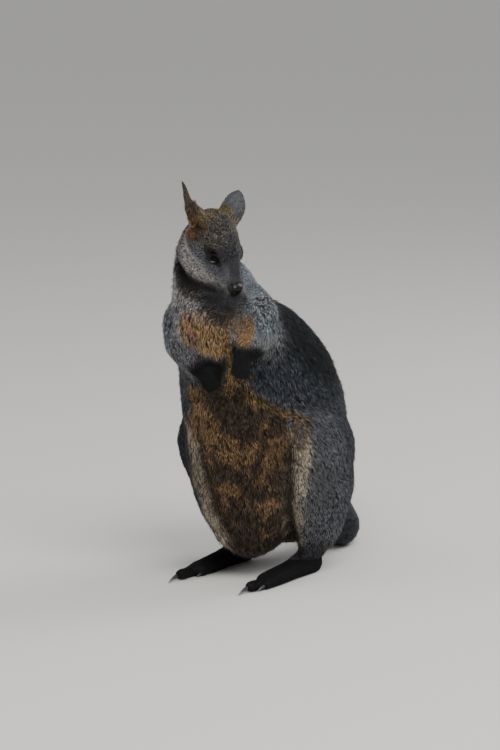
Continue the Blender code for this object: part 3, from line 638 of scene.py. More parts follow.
of_head = in_nodes(number, "head", "muzzle", "lower_jaw", "neck", "chest")
push = body_folds(outer, number)
points = points - outward * push[:, None]
print("deepest fold of the body, mm: %.1f" % (push.max() * 1000))
push = np.zeros(len(points))
for line, reach, depth in FOLDS.values():
    push += depth * bell(distance_to_line(at, line), reach)
points = points - outward * (push * of_head)[:, None]
in_crease = bell(distance_to_line(at, JAW_CREASE), 0.011)
skin_coat[:, :2] *= 1 - 0.6 * in_crease[:, None]
skin.data.vertices.foreach_set("co", points.ravel())
skin.data.update()
skin.data.shade_smooth()
print("deepest fold, mm: %.1f" % (push.max() * 1000))

# %% [markdown]
# ## Eyes
# A wallaby's eye is a large dark ball that shows almost no white, set on the side of the
# skull and looking a little forwards and up. The ball is a smooth sphere a little smaller
# than its solid. The skin inside the lids is drawn back behind the ball, the skin outside
# is kept clear of it, and a rounded rim stands for the edge of the lids: black above, with
# the pale edge of the lower lid under the ball.

# %% Frame of each eye
EYE_RADIUS = 0.0095
GAZE = (0.80, -0.50, 0.30)  # for the left eye, in the head's frame
LID_TILT = math.radians(40)  # how far the front corner stands above the line of the muzzle
LID_REACH = {"side": 68, "upper": 42, "lower": 44}  # degrees from the gaze to the lid's edge
EYE_SIDES = {"eye_left": 1, "eye_right": -1}


def frame_of_eye(node):
    """The eye's centre, and its gaze, front and upward directions."""
    side = EYE_SIDES[node]
    gaze = in_head(side * GAZE[0], GAZE[1], GAZE[2]).normalized()
    front = in_head(0, -1, 0).normalized()
    front = (front - gaze * front.dot(gaze)).normalized()
    up = front.cross(gaze) * side
    tilted = front * math.cos(LID_TILT) + up * math.sin(LID_TILT)
    return centre_of(node), gaze, tilted, tilted.cross(gaze) * side


def lid_angle(turn):
    """Degrees from the gaze to the lid's edge, at this turn round it.

    The turn is 0 at the front corner and a quarter of a circle at the top.
    """
    height = np.where(np.sin(turn) > 0, LID_REACH["upper"], LID_REACH["lower"])
    flat = np.abs(np.cos(turn)) / LID_REACH["side"]
    tall = np.abs(np.sin(turn)) / height
    return 1 / (flat**1.7 + tall**1.7) ** (1 / 1.7)


# %% Fit the skin round the balls
BEHIND_BALL, OVER_BALL = 0.0030, 0.0007  # how far the skin keeps inside and outside the ball's surface
FITTED, FADE = 34, 14  # degrees past the lid over which it follows the ball, and then lets go
MOST_AWAY = 115

for node in EYE_SIDES:
    centre, gaze, front, up = (np.array(v) for v in frame_of_eye(node))
    from_centre = points - centre
    gap = np.linalg.norm(from_centre, axis=1)
    aim = from_centre / gap[:, None]
    away = np.degrees(np.arccos(np.clip(aim @ gaze, -1, 1)))
    turn = np.arctan2(aim @ up, aim @ front)
    past_lid = away - lid_angle(turn)
    behind = np.minimum(gap, EYE_RADIUS - BEHIND_BALL)
    over = np.maximum(gap, EYE_RADIUS + OVER_BALL)
    near = (gap < EYE_RADIUS * 2.2) * (away < MOST_AWAY)
    share = bell(np.maximum(past_lid - FITTED, 0), FADE) * near
    wanted_gap = gap + (np.where(past_lid < 0, behind, over) - gap) * share
    points = centre + aim * wanted_gap[:, None]
skin.data.vertices.foreach_set("co", points.ravel())
skin.data.update()
print("skin fitted round", len(EYE_SIDES), "eyes")

# %% Balls, and the rims of the lids
LID_STEPS = 48
LID_ROUND = 8
LID_WIDE, LID_THICK = 0.00115, 0.00085


def tube(name, rings):
    """A closed ring of a tube, from a list of rings of points."""
    bm = bmesh.new()
    loops = []
    for ring in rings:
        corners = [bm.verts.new(place) for place in ring]
        loops.append([bm.edges.new((a, b)) for a, b in zip(corners, corners[1:] + corners[:1])])
    for here, there in zip(loops, loops[1:] + loops[:1]):
        bmesh.ops.bridge_loops(bm, edges=here + there)
    bmesh.ops.recalc_face_normals(bm, faces=bm.faces[:])
    return to_object(name, bm)


def eye_ball(node):
    centre, gaze, front, up = frame_of_eye(node)
    bm = bmesh.new()
    bmesh.ops.create_uvsphere(bm, u_segments=48, v_segments=32, radius=EYE_RADIUS)
    turn = Matrix((front, up, gaze)).transposed().to_4x4()
    if turn.determinant() < 0:
        turn = Matrix((-front, up, gaze)).transposed().to_4x4()
    bmesh.ops.transform(bm, matrix=Matrix.Translation(centre) @ turn, verts=bm.verts[:])
    ball = to_object("ball_" + node, bm)
    ball.data.shade_smooth()
    places = read(ball.data.vertices, "co", 3) - np.array(centre)
    away = np.degrees(np.arccos(np.clip(unit(places) @ np.array(gaze), -1, 1)))
    note(ball.data, "off_gaze", away / 90)
    return ball


def lid_rim(node):
    centre, gaze, front, up = (np.array(v) for v in frame_of_eye(node))
    turns = np.arange(LID_STEPS) * 2 * math.pi / LID_STEPS
    away = np.radians(lid_angle(turns))
    outward_way = np.cos(turns)[:, None] * front + np.sin(turns)[:, None] * up
    aim = np.cos(away)[:, None] * gaze + np.sin(away)[:, None] * outward_way
    across_way = -np.sin(away)[:, None] * gaze + np.cos(away)[:, None] * outward_way
    middle = centre + aim * (EYE_RADIUS + 0.0003)
    round_turn = np.arange(LID_ROUND) * 2 * math.pi / LID_ROUND
    rings = (
        middle[:, None]
        + aim[:, None] * (np.cos(round_turn) * LID_THICK)[None, :, None]
        + across_way[:, None] * (np.sin(round_turn) * LID_WIDE)[None, :, None]
    )
    rim = tube("lids_" + node, rings)
    rim.data.shade_smooth()
    places = read(rim.data.vertices, "co", 3) - centre
    low = -(unit(places) @ up)
    inner = EYE_RADIUS + 0.0012 - np.linalg.norm(places, axis=1)
    note(rim.data, "pale", np.clip((low - 0.52) * 8, 0, 1) * np.clip(inner * 2000, 0, 1))
    return rim


balls = [eye_ball(node) for node in EYE_SIDES]
rims = [lid_rim(node) for node in EYE_SIDES]
print("eyes:", [ball.name for ball in balls])

# %% [markdown]
# ## Nose
# The pad is bare, black and moist. It is a rounded block, wider than it is high, with a
# comma-shaped nostril on each side whose tail runs out and up, and a groove down the middle
# to the lip. It is shaped from a fine ball by pressing the same bell-shaped dents as before.

# %% Shape the nose pad
PAD_HALF = np.array([0.0126, 0.0098, 0.0104])
PAD_SQUARENESS = 2.5
NOSTRILS = {
    # name: (line in the head's frame, reach, depth inwards)
    "nostril": ([(0.0064, -0.0690, -0.0225), (0.0072, -0.0680, -0.0215)], 0.0021, 0.0046),
    "tail of the nostril": ([(0.0072, -0.0680, -0.0215), (0.0100, -0.0650, -0.0175)], 0.0012, 0.0024),
    "rim above": ([(0.0060, -0.0680, -0.0180), (0.0085, -0.0660, -0.0160)], 0.0022, -0.0006),
    "groove": ([(0.0000, -0.0700, -0.0230), (0.0000, -0.0660, -0.0320)], 0.0009, 0.0011),
}

bm = bmesh.new()
bmesh.ops.create_icosphere(bm, subdivisions=5, radius=1.0)
nose = to_object("nose", bm)
ball_points = read(nose.data.vertices, "co", 3)
norm = (np.abs(ball_points) ** PAD_SQUARENESS).sum(axis=1, keepdims=True) ** (1 / PAD_SQUARENESS)
pad = ball_points / norm * PAD_HALF + to_head(np.array(centre_of("nose_pad")))
at_sides = folded(pad)
for line, reach, depth in NOSTRILS.values():
    pad = pad - ball_points * (depth * bell(distance_to_line(at_sides, line), reach))[:, None]
nose.data.vertices.foreach_set("co", from_head(pad).ravel())
nose.data.update()
nose.data.shade_smooth()
print("nose pad, mm:", np.round((pad.max(axis=0) - pad.min(axis=0)) * 1000, 1))

# %% [markdown]
# ## Ears
# Each ear is a leaf of gristle: nearly a tube at its root and an open trough above. Its
# solid is a little too thick, since it stands for the hair as well, so it is smoothed and
# drawn thinner. The inside is almost bare blue-grey skin, the back has short dark hair.

# %% Smooth and thin the ears
EAR_LINES = {
    # along its length and out of its opening, in the head's frame
    "ear_left": ((0.64, 0.73, 0.04), (-0.25, -0.45, 0.85)),
    "ear_right": ((0.03, 0.885, 0.455), (-0.80, 0.35, -0.50)),
}
EAR_THINNING = 0.0007


def smoothed_copy(name, node, levels):
    """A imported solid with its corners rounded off."""
    made = to_object(name, merged_copy(node))
    rounding = made.modifiers.new("Rounded", "SUBSURF")
    rounding.levels = levels
    rounding.render_levels = levels
    apply_modifiers(made)
    made.data.shade_smooth()
    return made


def frame_of_ear(node):
    """The ear's middle, and its directions across, out of its back and along its length."""
    along, opening = (in_head(*line).normalized() for line in EAR_LINES[node])
    back_way = -(opening - along * opening.dot(along)).normalized()
    across_way = back_way.cross(along)
    return tuple(np.array(v) for v in (centre_of(node), across_way, back_way, along))


EAR_HALF_LENGTH = 0.040
EAR_HOLLOW = 0.022  # how far in front of the leaf's middle its hollow is centred

ears = {}
for node in EAR_LINES:
    ear = smoothed_copy("leaf_" + node, node, 2)
    leaf = read(ear.data.vertices, "co", 3)
    facing = normals_of(ear)
    middle, across_way, back_way, along = frame_of_ear(node)
    from_middle = leaf - middle
    height = (from_middle @ along / EAR_HALF_LENGTH + 1) / 2
    hollow = -(from_middle @ across_way)[:, None] * across_way
    hollow = hollow - (from_middle @ back_way + EAR_HOLLOW)[:, None] * back_way
    inside = (facing * unit(hollow)).sum(axis=1) > 0.1
    leaf = leaf - facing * EAR_THINNING
    ear.data.vertices.foreach_set("co", leaf.ravel())
    ear.data.update()
    ears[node] = {"object": ear, "leaf": leaf, "facing": facing, "height": height, "inside": inside}
    print(node, "points:", len(leaf), "inside: %.0f %%" % (inside.mean() * 100))

# %% [markdown]
# ## Markings
# A swamp wallaby is dark and grizzled above, rufous below, black on hands, feet and tail,
# with a pale stripe along the lip and cheek and orange at the base of each ear. Each kind
# of fur has two colours: the deep one at the root and tip of its hairs, and the pale band
# between them that makes it look grizzled. The third number is the share of tufts that
# show the band. Skin and coat take both colours from the same function of place, so the
# markings agree, and soft noise breaks up every edge.

# %% Kinds of fur
FUR = {
    # kind: deep, band, banded share
    "grizzled": ("353435", "c9c6c6", 0.72),
    # grizzled grey fur with painted light: paler and bluer, as the lit side of the neck and shoulder
    "silver": ("24282d", "a3acb6", 0.62),
    "back": ("060709", "262c34", 0.34),
    "flank": ("121418", "5d6472", 0.44),
    "thigh": ("1c1d21", "81848d", 0.56),
    "dark thigh": ("111114", "46474c", 0.45),
    "chest": ("3c2e21", "c29f71", 0.70),
    "rufous": ("2d231d", "aa8962", 0.60),
    "ochre": ("352a1e", "a88a5e", 0.64),
    "brown": ("181310", "675648", 0.48),
    "buff": ("5f574b", "ddd1bd", 0.80),
    # the blue cast of the black and tail colours is partly painted sheen of a blue sky on dark hair
    "black": ("060608", "16181d", 0.35),
    "tail": ("0e1014", "384050", 0.45),
    "forehead": ("171613", "7b746a", 0.48),
    "dark face": ("151518", "58585f", 0.46),
    "grey face": ("222227", "84858f", 0.52),
    "cheek": ("474647", "c4bfbb", 0.78),
    "ear orange": ("4a2f1b", "a8743f", 0.66),
    "ear yellow": ("3a3428", "a58f6b", 0.60),
    # near-black of the eye skin, chin, mouth and throat; also used for painted shade under the jaw and the
    # head
    "throat": ("0a0a0a", "2b2928", 0.35),
    # painted shade for the grooves beside the belly and the hollow behind the knee
    "gap": ("0c0907", "2a2018", 0.35),
    "bare knee": ("4b4341", "8d8078", 0.60),
    "bare elbow": ("7a4b46", "b98880", 0.70),
    "ear back": ("171513", "54493f", 0.50),
    "ear brown": ("2a1e14", "6a5238", 0.55),
    "ear hair": ("3d3e44", "83848a", 0.60),
}

FUR_OF_PART = {
    "head": "forehead", "muzzle": "dark face", "lower_jaw": "throat", "neck": "grizzled",
    "chest": "grizzled", "belly": "brown", "back": "back", "rump": "back",
    "upper_arm": "silver", "forearm": "grizzled", "hand": "black", "thigh": "thigh",
    "shank": "thigh", "foot": "black", "tail": "tail",
}


def fur_row(kind):
    """The two colours of a kind of fur, and its banded share, in one row."""
    deep, band, share = FUR[kind]
    return np.array([*linear(deep), *linear(band), share])


def lay(rows, marks):
    """Lays kinds of fur over one another in turn, each where its mask is above 0."""
    for mask, kind in marks:
        rows = rows + np.clip(mask, 0, 1)[:, None] * (fur_row(kind) - rows)
    return rows


print("kinds of fur:", len(FUR))

# %% Borders beside the head and neck
def behind_chest(places):
    """How far each place lies to the left rear of where the orange chest meets the silver shoulder."""
    x, y, z = places.T
    heights = (0.42, 0.45, 0.47, 0.49, 0.51, 0.55)
    line = np.interp(z, heights, (-0.086, -0.084, -0.078, -0.083, -0.104, -0.113))
    return 0.81 * x + 0.59 * y - line + 0.010 * (noise(places, 0.008, 12) - 0.5)


def outside_head(places):
    """1 where a place lies further out than the sides of the head."""
    x, y, _ = folded(to_head(places)).T
    half = np.interp(y, (-0.060, -0.030, 0.000, 0.050), (0.015, 0.026, 0.044, 0.054))
    return rise(0.000, 0.006, x - half)


def left_of_neck(places):
    """1 on the side of the neck and shoulder that faces the animal's left rear."""
    return rise(-0.009, 0.007, behind_chest(places)) * rise(0.478, 0.498, places[:, 2])


def lie_of_trunk(places):
    """Degrees round the trunk and from the belly's middle, and the noise that breaks up edges."""
    turn = round_the_trunk(places)
    ragged = (noise(places, 0.020, 5) - 0.5) * 18 + (noise(places, 0.006, 6) - 0.5) * 10
    return turn, np.abs(turn - BELLY_MIDDLE) + ragged * 0.5, ragged


# %% Marks of the neck, back, chest and arms, each a mask and a kind of fur
def upper_marks(places, parts):
    """Grizzled neck, silver left shoulder that is partly painted light, near-black back, orange chest, and a
    dark throat under the head that is partly painted shade.
    """
    x, _, z = places.T
    turn, side, ragged = lie_of_trunk(places)
    trunk, leg, neck = parts["trunk"], parts["leg"], parts["neck"]

    collar = (neck + parts["chest"] + parts["lower_jaw"]) * rise(46, 62, turn + ragged)
    collar = collar * rise(0.46, 0.49, z) * rise(-0.008, 0.004, behind_chest(places))
    beside = neck + parts["chest"] + parts["skull"] * outside_head(places)
    # the silver side of the neck and shoulder facing the animal's left rear is partly real grizzle and
    # partly painted light falling from above and behind
    silver = np.maximum(collar * rise(120, 90, turn), left_of_neck(places) * beside)
    upper = rise(0.30, 0.40, z + 0.0006 * ragged)
    nape = neck + parts["back"] * rise(0.46, 0.50, z)

    half_bib = np.interp(z, (0.355, 0.40, 0.44, 0.49), (12, 26, 37, 44))
    bib = trunk * rise(5, -5, side - half_bib) * rise(0.508, 0.492, z + 0.0004 * ragged)
    dark_hairs = rise(0.55, 0.75, noise(places, (0.005, 0.005, 0.012), 7))
    right_arm = parts["upper_arm_right"] * 0.5 + parts["forearm_right"]
    left_arm = parts["upper_arm"] * rise(0.075, 0.085, x) * rise(0.497, 0.485, z)
    wedge = rise(4, -4, np.abs(turn - 32) - 15 * rise(0.474, 0.512, z) + ragged * 0.4)
    return [
        (trunk * rise(40, 62, side) * rise(0.515, 0.49, z), "flank"),
        (silver, "silver"),
        (trunk * rise(74, 104, side) * upper, "back"),
        (trunk * rise(125, 150, side), "back"),
        (leg * rise(62, 100, side) * 0.85, "flank"),
        (trunk * rise(0.435, 0.405, z) * rise(60, 50, side), "flank"),
        (nape * rise(96, 150, side + ragged) * rise(0.62, 0.54, z) * 0.8, "flank"),
        (bib, "chest"),
        (parts["forearm"] * rise(0.075, 0.085, x) * rise(0.440, 0.415, z), "flank"),
        (right_arm * 0.75, "thigh"),
        (left_arm * rise(0.004, -0.006, behind_chest(places)), "chest"),
        (bib * dark_hairs * 0.25, "brown"),
        # dark throat fur below the head, partly painted shade cast by the head and muzzle
        (trunk * wedge * rise(0.470, 0.480, z) * (1 - left_of_neck(places)), "throat"),
    ]


# %% Marks of the belly, of the pale stripe beside it and of the fold above it
def belly_marks(places, parts):
    """Rufous belly with brown patches, a buff stripe on each side, and a dark right thigh."""
    z = places[:, 2]
    turn, side, ragged = lie_of_trunk(places)
    body = parts["trunk"] + parts["leg"]
    top = np.interp(turn, (-60, 10, 38, 46, 58, 66), (0.350, 0.374, 0.366, 0.342, 0.322, 0.306))
    below = rise(0.007, -0.007, z - top + 0.0006 * ragged)
    edge = np.interp(z, (0.07, 0.13, 0.19, 0.25, 0.29), (21, 21.5, 24.5, 30, 37))
    belly = body * below * rise(3, -3, side - edge)
    patches = (
        0.30 * bell(turn - 25, 17) * bell(z - 0.318, 0.026)
        + 0.24 * bell(turn - 12, 9) * bell(z - 0.212, 0.020)
        + 0.22 * rise(0.15, 0.08, z)
        - 0.24 * bell(turn + 8, 9) * rise(0.22, 0.26, z)
        - 0.14 * bell(turn - 26, 12) * bell(z - 0.262, 0.020)
    )
    mottle = noise(places, (0.014, 0.014, 0.030), 3) * 0.6 + noise(places, (0.006, 0.006, 0.015), 4) * 0.4
    crease = bell(z - crease_height(turn) - 0.006, 0.010) * rise(70, 60, turn) * rise(-30, -10, turn)
    stripe = bell(side - edge - 4, 5.5) * rise(0.050, 0.075, z) * rise(0.300, 0.285, z)
    right_thigh = body * rise(-BELLY_MIDDLE, -BELLY_MIDDLE - 6, turn) * rise(0.33, 0.28, z)
    right_flank = parts["trunk"] * rise(-74, -100, turn) * rise(0.27, 0.33, z) * rise(0.45, 0.38, z)
    return [
        (belly, "rufous"),
        (belly * rise(0.40, 0.54, mottle + patches), "brown"),
        (body * crease * rise(20, 40, turn) * 0.8, "ochre"),
        (body * stripe * 1.1, "buff"),
        (body * stripe * rise(0, -20, turn) * 0.45, "ochre"),
        (right_thigh * rise(5, 11, side - edge), "dark thigh"),
        (right_flank, "dark thigh"),
    ]


# %% Marks of the legs and hands
ELBOW_PATCH = [(0.066, -0.417, 0.466), (0.070, -0.420, 0.452)]
BLACK_HANDS = {"hand_left": 0.058, "hand_right": 0.046}  # how far up the arm the black runs
BLACK_FADE = 0.018


def limb_marks(places, normals, parts):
    """Dark inner legs, painted shade in the grooves beside the belly and the hollow behind the knee, the
    bare skin of knee and elbow, and black hands.
    """
    x, _, z = places.T
    turn, _, ragged = lie_of_trunk(places)
    body = parts["trunk"] + parts["leg"]
    by_elbow = parts["chest"] + parts["forearm"] + parts["upper_arm"]
    facing_in = -normals[:, 0] * np.sign(x - SPINE_X)
    streak = distance_to_line(places, KNEE_STREAK)
    marks = [
        (parts["leg"] * rise(0.35, 0.7, facing_in) * rise(0.20, 0.16, z), "brown"),
        (parts["shank"] * rise(0.075, 0.040, z), "dark face"),
        # painted shade in the grooves beside the belly and in the hollow behind the left knee
        (body * beside_belly(places, turn) * 0.9, "gap"),
        (body * bell(distance_to(places, KNEE_HOLLOW), 0.014) * 1.4, "gap"),
        (body * rise(0.0160, 0.0090, streak) * 0.8, "ochre"),
        (body * rise(0.0085, 0.0050, streak), "bare knee"),
        (by_elbow * rise(0.0070, 0.0040, distance_to_line(places, ELBOW_PATCH)), "bare elbow"),
    ]
    for node, reach in BLACK_HANDS.items():
        gap = distance_to(places, centre_of(node)) + 0.0004 * ragged
        marks.append(((parts["forearm"] + parts["hand"]) * rise(reach, reach - BLACK_FADE, gap), "black"))
    return marks


# %% Marks of the head
BACK_OF_SKULL = (0, 0.02, -0.02)
EYE_CORNERS = [(0.005, 0.014, 0.001), (0, 0, 0), (-0.003, -0.014, -0.002)]  # from the eye's centre
# the shadow under the right side of the jaw: (points of the crease, drop, reach, raggedness)
JAW_SHADOWS = ((8, 0.007, 0.0070, 0.003), (3, 0.022, 0.015, 0.006))
EAR_BASES = [
    # (centre in the head's frame, outer and inner reach, raggedness, strength, kind of fur)
    ((0.036, 0.062, 0.000), 0.036, 0.022, 0.012, 0.8, "ear brown"),
    ((0.037, 0.062, -0.008), 0.025, 0.013, 0.012, 1.0, "ear orange"),
    ((0.034, 0.074, -0.036), 0.015, 0.006, 0.008, 0.8, "buff"),
    ((0.018, 0.066, 0.022), 0.026, 0.008, 0.012, 0.7, "ear yellow"),
]


def under_jaw(places, at, ragged):
    """How far each place is in the shadow under the jaw, from 0 to 1."""
    under = bell(distance_to_line(at, JAW_CREASE), np.interp(at[:, 1], (-0.045, -0.020), (0.005, 0.0085)))
    for count, drop, reach, rough in JAW_SHADOWS:
        line = from_head(np.array(JAW_CREASE[:count]) * [-1, 1, 1]) - [0, 0, drop]
        under = np.maximum(under, bell(distance_to_line(places, line), reach + rough * ragged))
    return under


def head_marks(places, parts):
    """Dark face, pale lip and cheek, a black throat that is partly painted shadow under the jaw, and orange
    and yellow by the ears.
    """
    at = folded(to_head(places))
    x, y, z = at.T
    left = left_of_neck(places)
    of_head = parts["skull"] * (1 - outside_head(places) * left)
    far_back = distance_to(at, BACK_OF_SKULL)
    neck = parts["neck"] * (1 - left)
    near_head = np.minimum(of_head + neck * rise(0.105, 0.085, far_back), 1)
    below_head = np.minimum(near_head + parts["chest"] + neck, 1) * (1 - left)
    ragged = noise(places, 0.006, 8) - 0.5
    blotch = noise(places, 0.012, 9) - 0.5

    side_of_face = rise(0.006, 0.014, x) * rise(0.004, -0.012, z + 0.2 * y) * rise(-0.058, -0.046, y)
    wide = np.interp(y, (-0.055, -0.025, 0.005, 0.030, 0.060), (0.0066, 0.0074, 0.0120, 0.0190, 0.0200))
    pale = bell(distance_to_line(at, LIP_TO_CHEEK), wide * (1 + 0.5 * ragged))
    corners_of_eye = distance_to_line(at, EYE_AT + EYE_CORNERS)
    chin = of_head * rise(0.020, 0.012, x) * rise(-0.040, -0.046, z) * rise(-0.010, -0.025, y)
    marks = [
        (near_head * rise(0.100, 0.080, far_back) * rise(0.086, 0.066, y + 0.02 * blotch), "forehead"),
        (of_head * rise(0.012, -0.012, y + 0.016 * blotch), "dark face"),
        (of_head * bell(x, 0.008) * rise(0.066, 0.030, y) * 0.7 * rise(-0.01, 0.01, z), "dark face"),
        (of_head * side_of_face * rise(0.075, 0.050, y), "grey face"),
        (near_head * rise(0.0185, 0.0120, distance_to(at, EYE_AT)) * 0.95, "throat"),
        (near_head * rise(0.0100, 0.0055, corners_of_eye) * 0.75, "throat"),
        # painted shadow under the jaw, in the near-black throat colour
        (below_head * under_jaw(places, at, ragged) * 1.3, "throat"),
        (chin, "throat"),
        (near_head * pale * 1.15, "cheek"),
        (of_head * bell(distance_to_line(at, MOUTH), 0.0030) * 1.5, "throat"),
    ]
    for below_nose in (0.004, 0.009):
        row = np.array(WHISKER_ROW) - [0, 0, below_nose]
        marks.append((of_head * bell(distance_to_line(at, row), 0.0014) * 0.8, "throat"))
    for spot, outer_reach, inner_reach, rough, strength, kind in EAR_BASES:
        base = distance_to(at, spot) + rough * ragged
        marks.append((near_head * rise(outer_reach, inner_reach, base) * strength, kind))
    return marks


# %% Lay the marks on the skin, soft on the body and crisp by the face, hands and feet
PARTS = (
    "head", "muzzle", "lower_jaw", "neck", "chest", "belly", "back", "rump", "thigh", "shank",
    "upper_arm", "forearm", "hand", "upper_arm_right", "forearm_right",
)


def markings(places, normals, share_of_part):
    """Deep colour, band colour and banded share for each place."""
    parts = {}
    for word in PARTS:
        chosen = np.array([node.startswith(word) for node in flesh])
        parts[word] = share_of_part[:, chosen].sum(axis=1)
    parts["trunk"] = parts["chest"] + parts["belly"] + parts["back"] + parts["rump"]
    parts["leg"] = parts["thigh"] + parts["shank"]
    parts["skull"] = parts["head"] + parts["muzzle"] + parts["lower_jaw"]
    marks = upper_marks(places, parts) + belly_marks(places, parts)
    marks += limb_marks(places, normals, parts) + head_marks(places, parts)
    print("marks:", len(marks))
    rows = share_of_part @ np.array([fur_row(row_of(node, FUR_OF_PART)) for node in flesh])
    return np.clip(lay(rows, marks), 0, 1)


crisp = spread(own_solid, ends, 5)
blurred = spread(crisp, ends, 60)
soft_share = rise(0.075, 0.110, distance_to(at, BACK_OF_SKULL)) * rise(0.12, 0.20, outer[:, 2])
for node in BLACK_HANDS:
    soft_share *= rise(0.050, 0.080, distance_to(outer, centre_of(node)))
colour_part = crisp + (blurred - crisp) * soft_share[:, None]
outward = normals_of(skin)
skin_rows = markings(outer, outward, colour_part)

# %% [markdown]
# ## The lie of the coat
# Hair on one part runs into hair on the next in a smooth stream, as it does on a living
# animal: from the nose back over the head, down the neck and trunk, and along each limb to
# the toes. The way of each solid is laid flat on the skin, eased over its neighbours, and
# then laid flat again, so that it can be followed from any point of the skin.

# %% A direction along the skin for every point
def flattened(vectors, normals):
    """The part of each vector that lies along the skin, at unit length."""
    return unit(vectors - normals * (vectors * normals).sum(axis=1, keepdims=True))


ways = share_of_part @ way_rows
by_ear = np.maximum(by_ear, by_seam)
ways += by_ear[:, None] * (np.array(in_head(0, 0.95, 0.40)) - ways) * 0.85
stream = flattened(ways, outward)
stream = flattened(spread(stream, ends, 36), outward)
print("mean downward run of the coat: %.2f" % -stream[:, 2].mean())

# %% [markdown]
# ## Hair of the ears
# The back of an ear has short dark hair that grows longer towards the root, the inside has
# a few pale hairs, and a dark rim runs along the edge. The right ear's back is brown at its
# root, with a little orange and a shaggy fringe, and the left ear has yellow-brown tufts
# where its trough opens. The ears get the same table and the same colours as the skin,
# worked out for each of their points.

# %% Coat of the ears
# depth, length, width, rise and spacing of the tufts, as in the coat's table
BACK_OF_EAR = (0.0011, 0.0042, 0.00070, math.radians(19), 0.00115)
INSIDE_OF_EAR = (0.0012, 0.0050, 0.00045, math.radians(24), 0.00240)
EAR_RIM = (0.0012, 0.0046, 0.00070, math.radians(20), 0.00120)
EAR_FRINGE = (0.0016, 0.0200, 0.00085, math.radians(62), 0.00115)
EAR_MOUTH = (0.0020, 0.0095, 0.00090, 0.5, 0.00150)
EAR_ROOT_LONGER = 0.9  # how much longer the hair at the root is than at the tip


def ear_bed(node, solid):
    """Places, normals, hair way, coat rows and colours for the points of an ear."""
    ear = ears[node]
    mesh, leaf, facing = ear["object"].data, ear["leaf"], ear["facing"]
    _, across_way, _, along = frame_of_ear(node)
    inside, height = ear["inside"], np.clip(ear["height"], 0, 1)
    ragged_height = height + 0.16 * (noise(leaf, 0.006, 30) - 0.5)
    soft = spread(inside.astype(float), edge_ends(mesh), 5)[:, 0]
    rim = bell(soft - 0.5, 0.40) * rise(0.10, 0.25, height)
    mouth = rise(0.40, 0.26, ragged_height) * inside

    rows = np.where(inside[:, None], INSIDE_OF_EAR, BACK_OF_EAR)
    rows[:, 1] *= 1 + EAR_ROOT_LONGER * rise(0.75, 0.15, height)
    rows += rim[:, None] * (np.array(EAR_RIM) - rows)
    if node == "ear_right":
        fringe = rise(0.85, 0.30, height) * ~inside
        rows += fringe[:, None] * (np.array(EAR_FRINGE) - rows)
        patchy = rise(0.2, 0.8, noise(leaf, 0.004, 31) + 0.2)
        marks = [
            (fringe * 0.8 * patchy, "ear brown"),
            (rise(0.36, 0.20, ragged_height), "ear brown"),
            (rise(0.08, 0.00, ragged_height) * 0.5, "ear orange"),
        ]
    else:
        marks = [(rise(0.45, 0.30, ragged_height) * ~inside, "ear yellow")]
    rows = rows + mouth[:, None] * (np.array(EAR_MOUTH) - rows)
    marks += [(inside * 1.0, "ear hair"), (rim, "ear back"), (mouth, "ear yellow")]

    way_out = along + 0.25 * np.sign((leaf - leaf.mean(axis=0)) @ across_way)[:, None] * across_way
    return {
        "places": leaf, "normals": facing, "ways": flattened(way_out, facing), "rows": rows,
        "colours": lay(np.tile(fur_row("ear back"), (len(height), 1)), marks),
        "corners": triangles_of(ear["object"]), "solid": np.full(len(height), solid),
    }


def triangles_of(obj):
    obj.data.calc_loop_triangles()
    return read(obj.data.loop_triangles, "vertices", 3, np.int32)


# %% [markdown]
# ## Roots of the tufts
# A tuft is a few dozen hairs that stick together. The skin's triangles are walked in order
# and a root is set each time the area passed amounts to one tuft at the local spacing, so
# the roots are even without showing rows. About one root in sixteen leads a lock: the tufts
# near it share its turn and lean towards its tip, which gives the coat its broken surface.

# %% Set the roots
chance = np.random.default_rng(20)
SOLE_HEIGHT = 0.0025


def set_roots(bed):
    """Roots spread over a surface, with what the surface says at each."""
    places, corners = bed["places"], bed["corners"]
    sides = places[corners[:, 1:]] - places[corners[:, :1]]
    facing = np.cross(sides[:, 0], sides[:, 1])
    area = np.linalg.norm(facing, axis=1) / 2
    spacing = bed["rows"][:, 4][corners].mean(axis=1)
    sole = (places[corners, 2].mean(axis=1) < SOLE_HEIGHT) & (facing[:, 2] < 0)
    passed = np.cumsum(np.where(sole, 0, area / spacing**2))
    count = int(passed[-1])
    home = np.searchsorted(passed, np.arange(count) + chance.random(count) * 0.9)
    home = corners[np.minimum(home, len(corners) - 1)]
    mix = chance.random((count, 2))
    over = mix.sum(axis=1) > 1
    mix[over] = 1 - mix[over]
    weights = np.column_stack([1 - mix.sum(axis=1), mix])

    def at(values):
        return np.einsum("nk,nk...->n...", weights, values[home])

    normal = unit(at(bed["normals"]))
    return {
        "root": at(places), "normal": normal, "run": flattened(at(bed["ways"]), normal),
        "coat": at(bed["rows"]), "colour": np.clip(at(bed["colours"]), 0, 1),
        "solid": bed["solid"][home[:, 0]],
    }


beds = [{
    "places": points, "normals": outward, "ways": stream, "rows": skin_coat,
    "colours": skin_rows, "corners": triangles_of(skin), "solid": number,
}]
for node in EAR_LINES:
    beds.append(ear_bed(node, len(flesh) + len(beds) - 1))
fields = [set_roots(bed) for bed in beds]
KEPT_OF_A_ROOT = ("root", "normal", "run", "coat", "colour", "solid")
root, normal, run, coat, colour, solid = (
    np.concatenate([field[key] for field in fields]) for key in KEPT_OF_A_ROOT
)
roots = len(root)
print("tufts: %d, of which on the ears: %d" % (roots, sum(len(f["root"]) for f in fields[1:])))

# %% Gather the tufts into locks
TUFTS_PER_LOCK = 16

leaders = np.sort(chance.permutation(roots)[:roots // TUFTS_PER_LOCK])
tree = KDTree(len(leaders))
for i, leader in enumerate(leaders):
    tree.insert(root[leader], i)
tree.balance()
lock = np.array([tree.find(place)[1] for place in root])


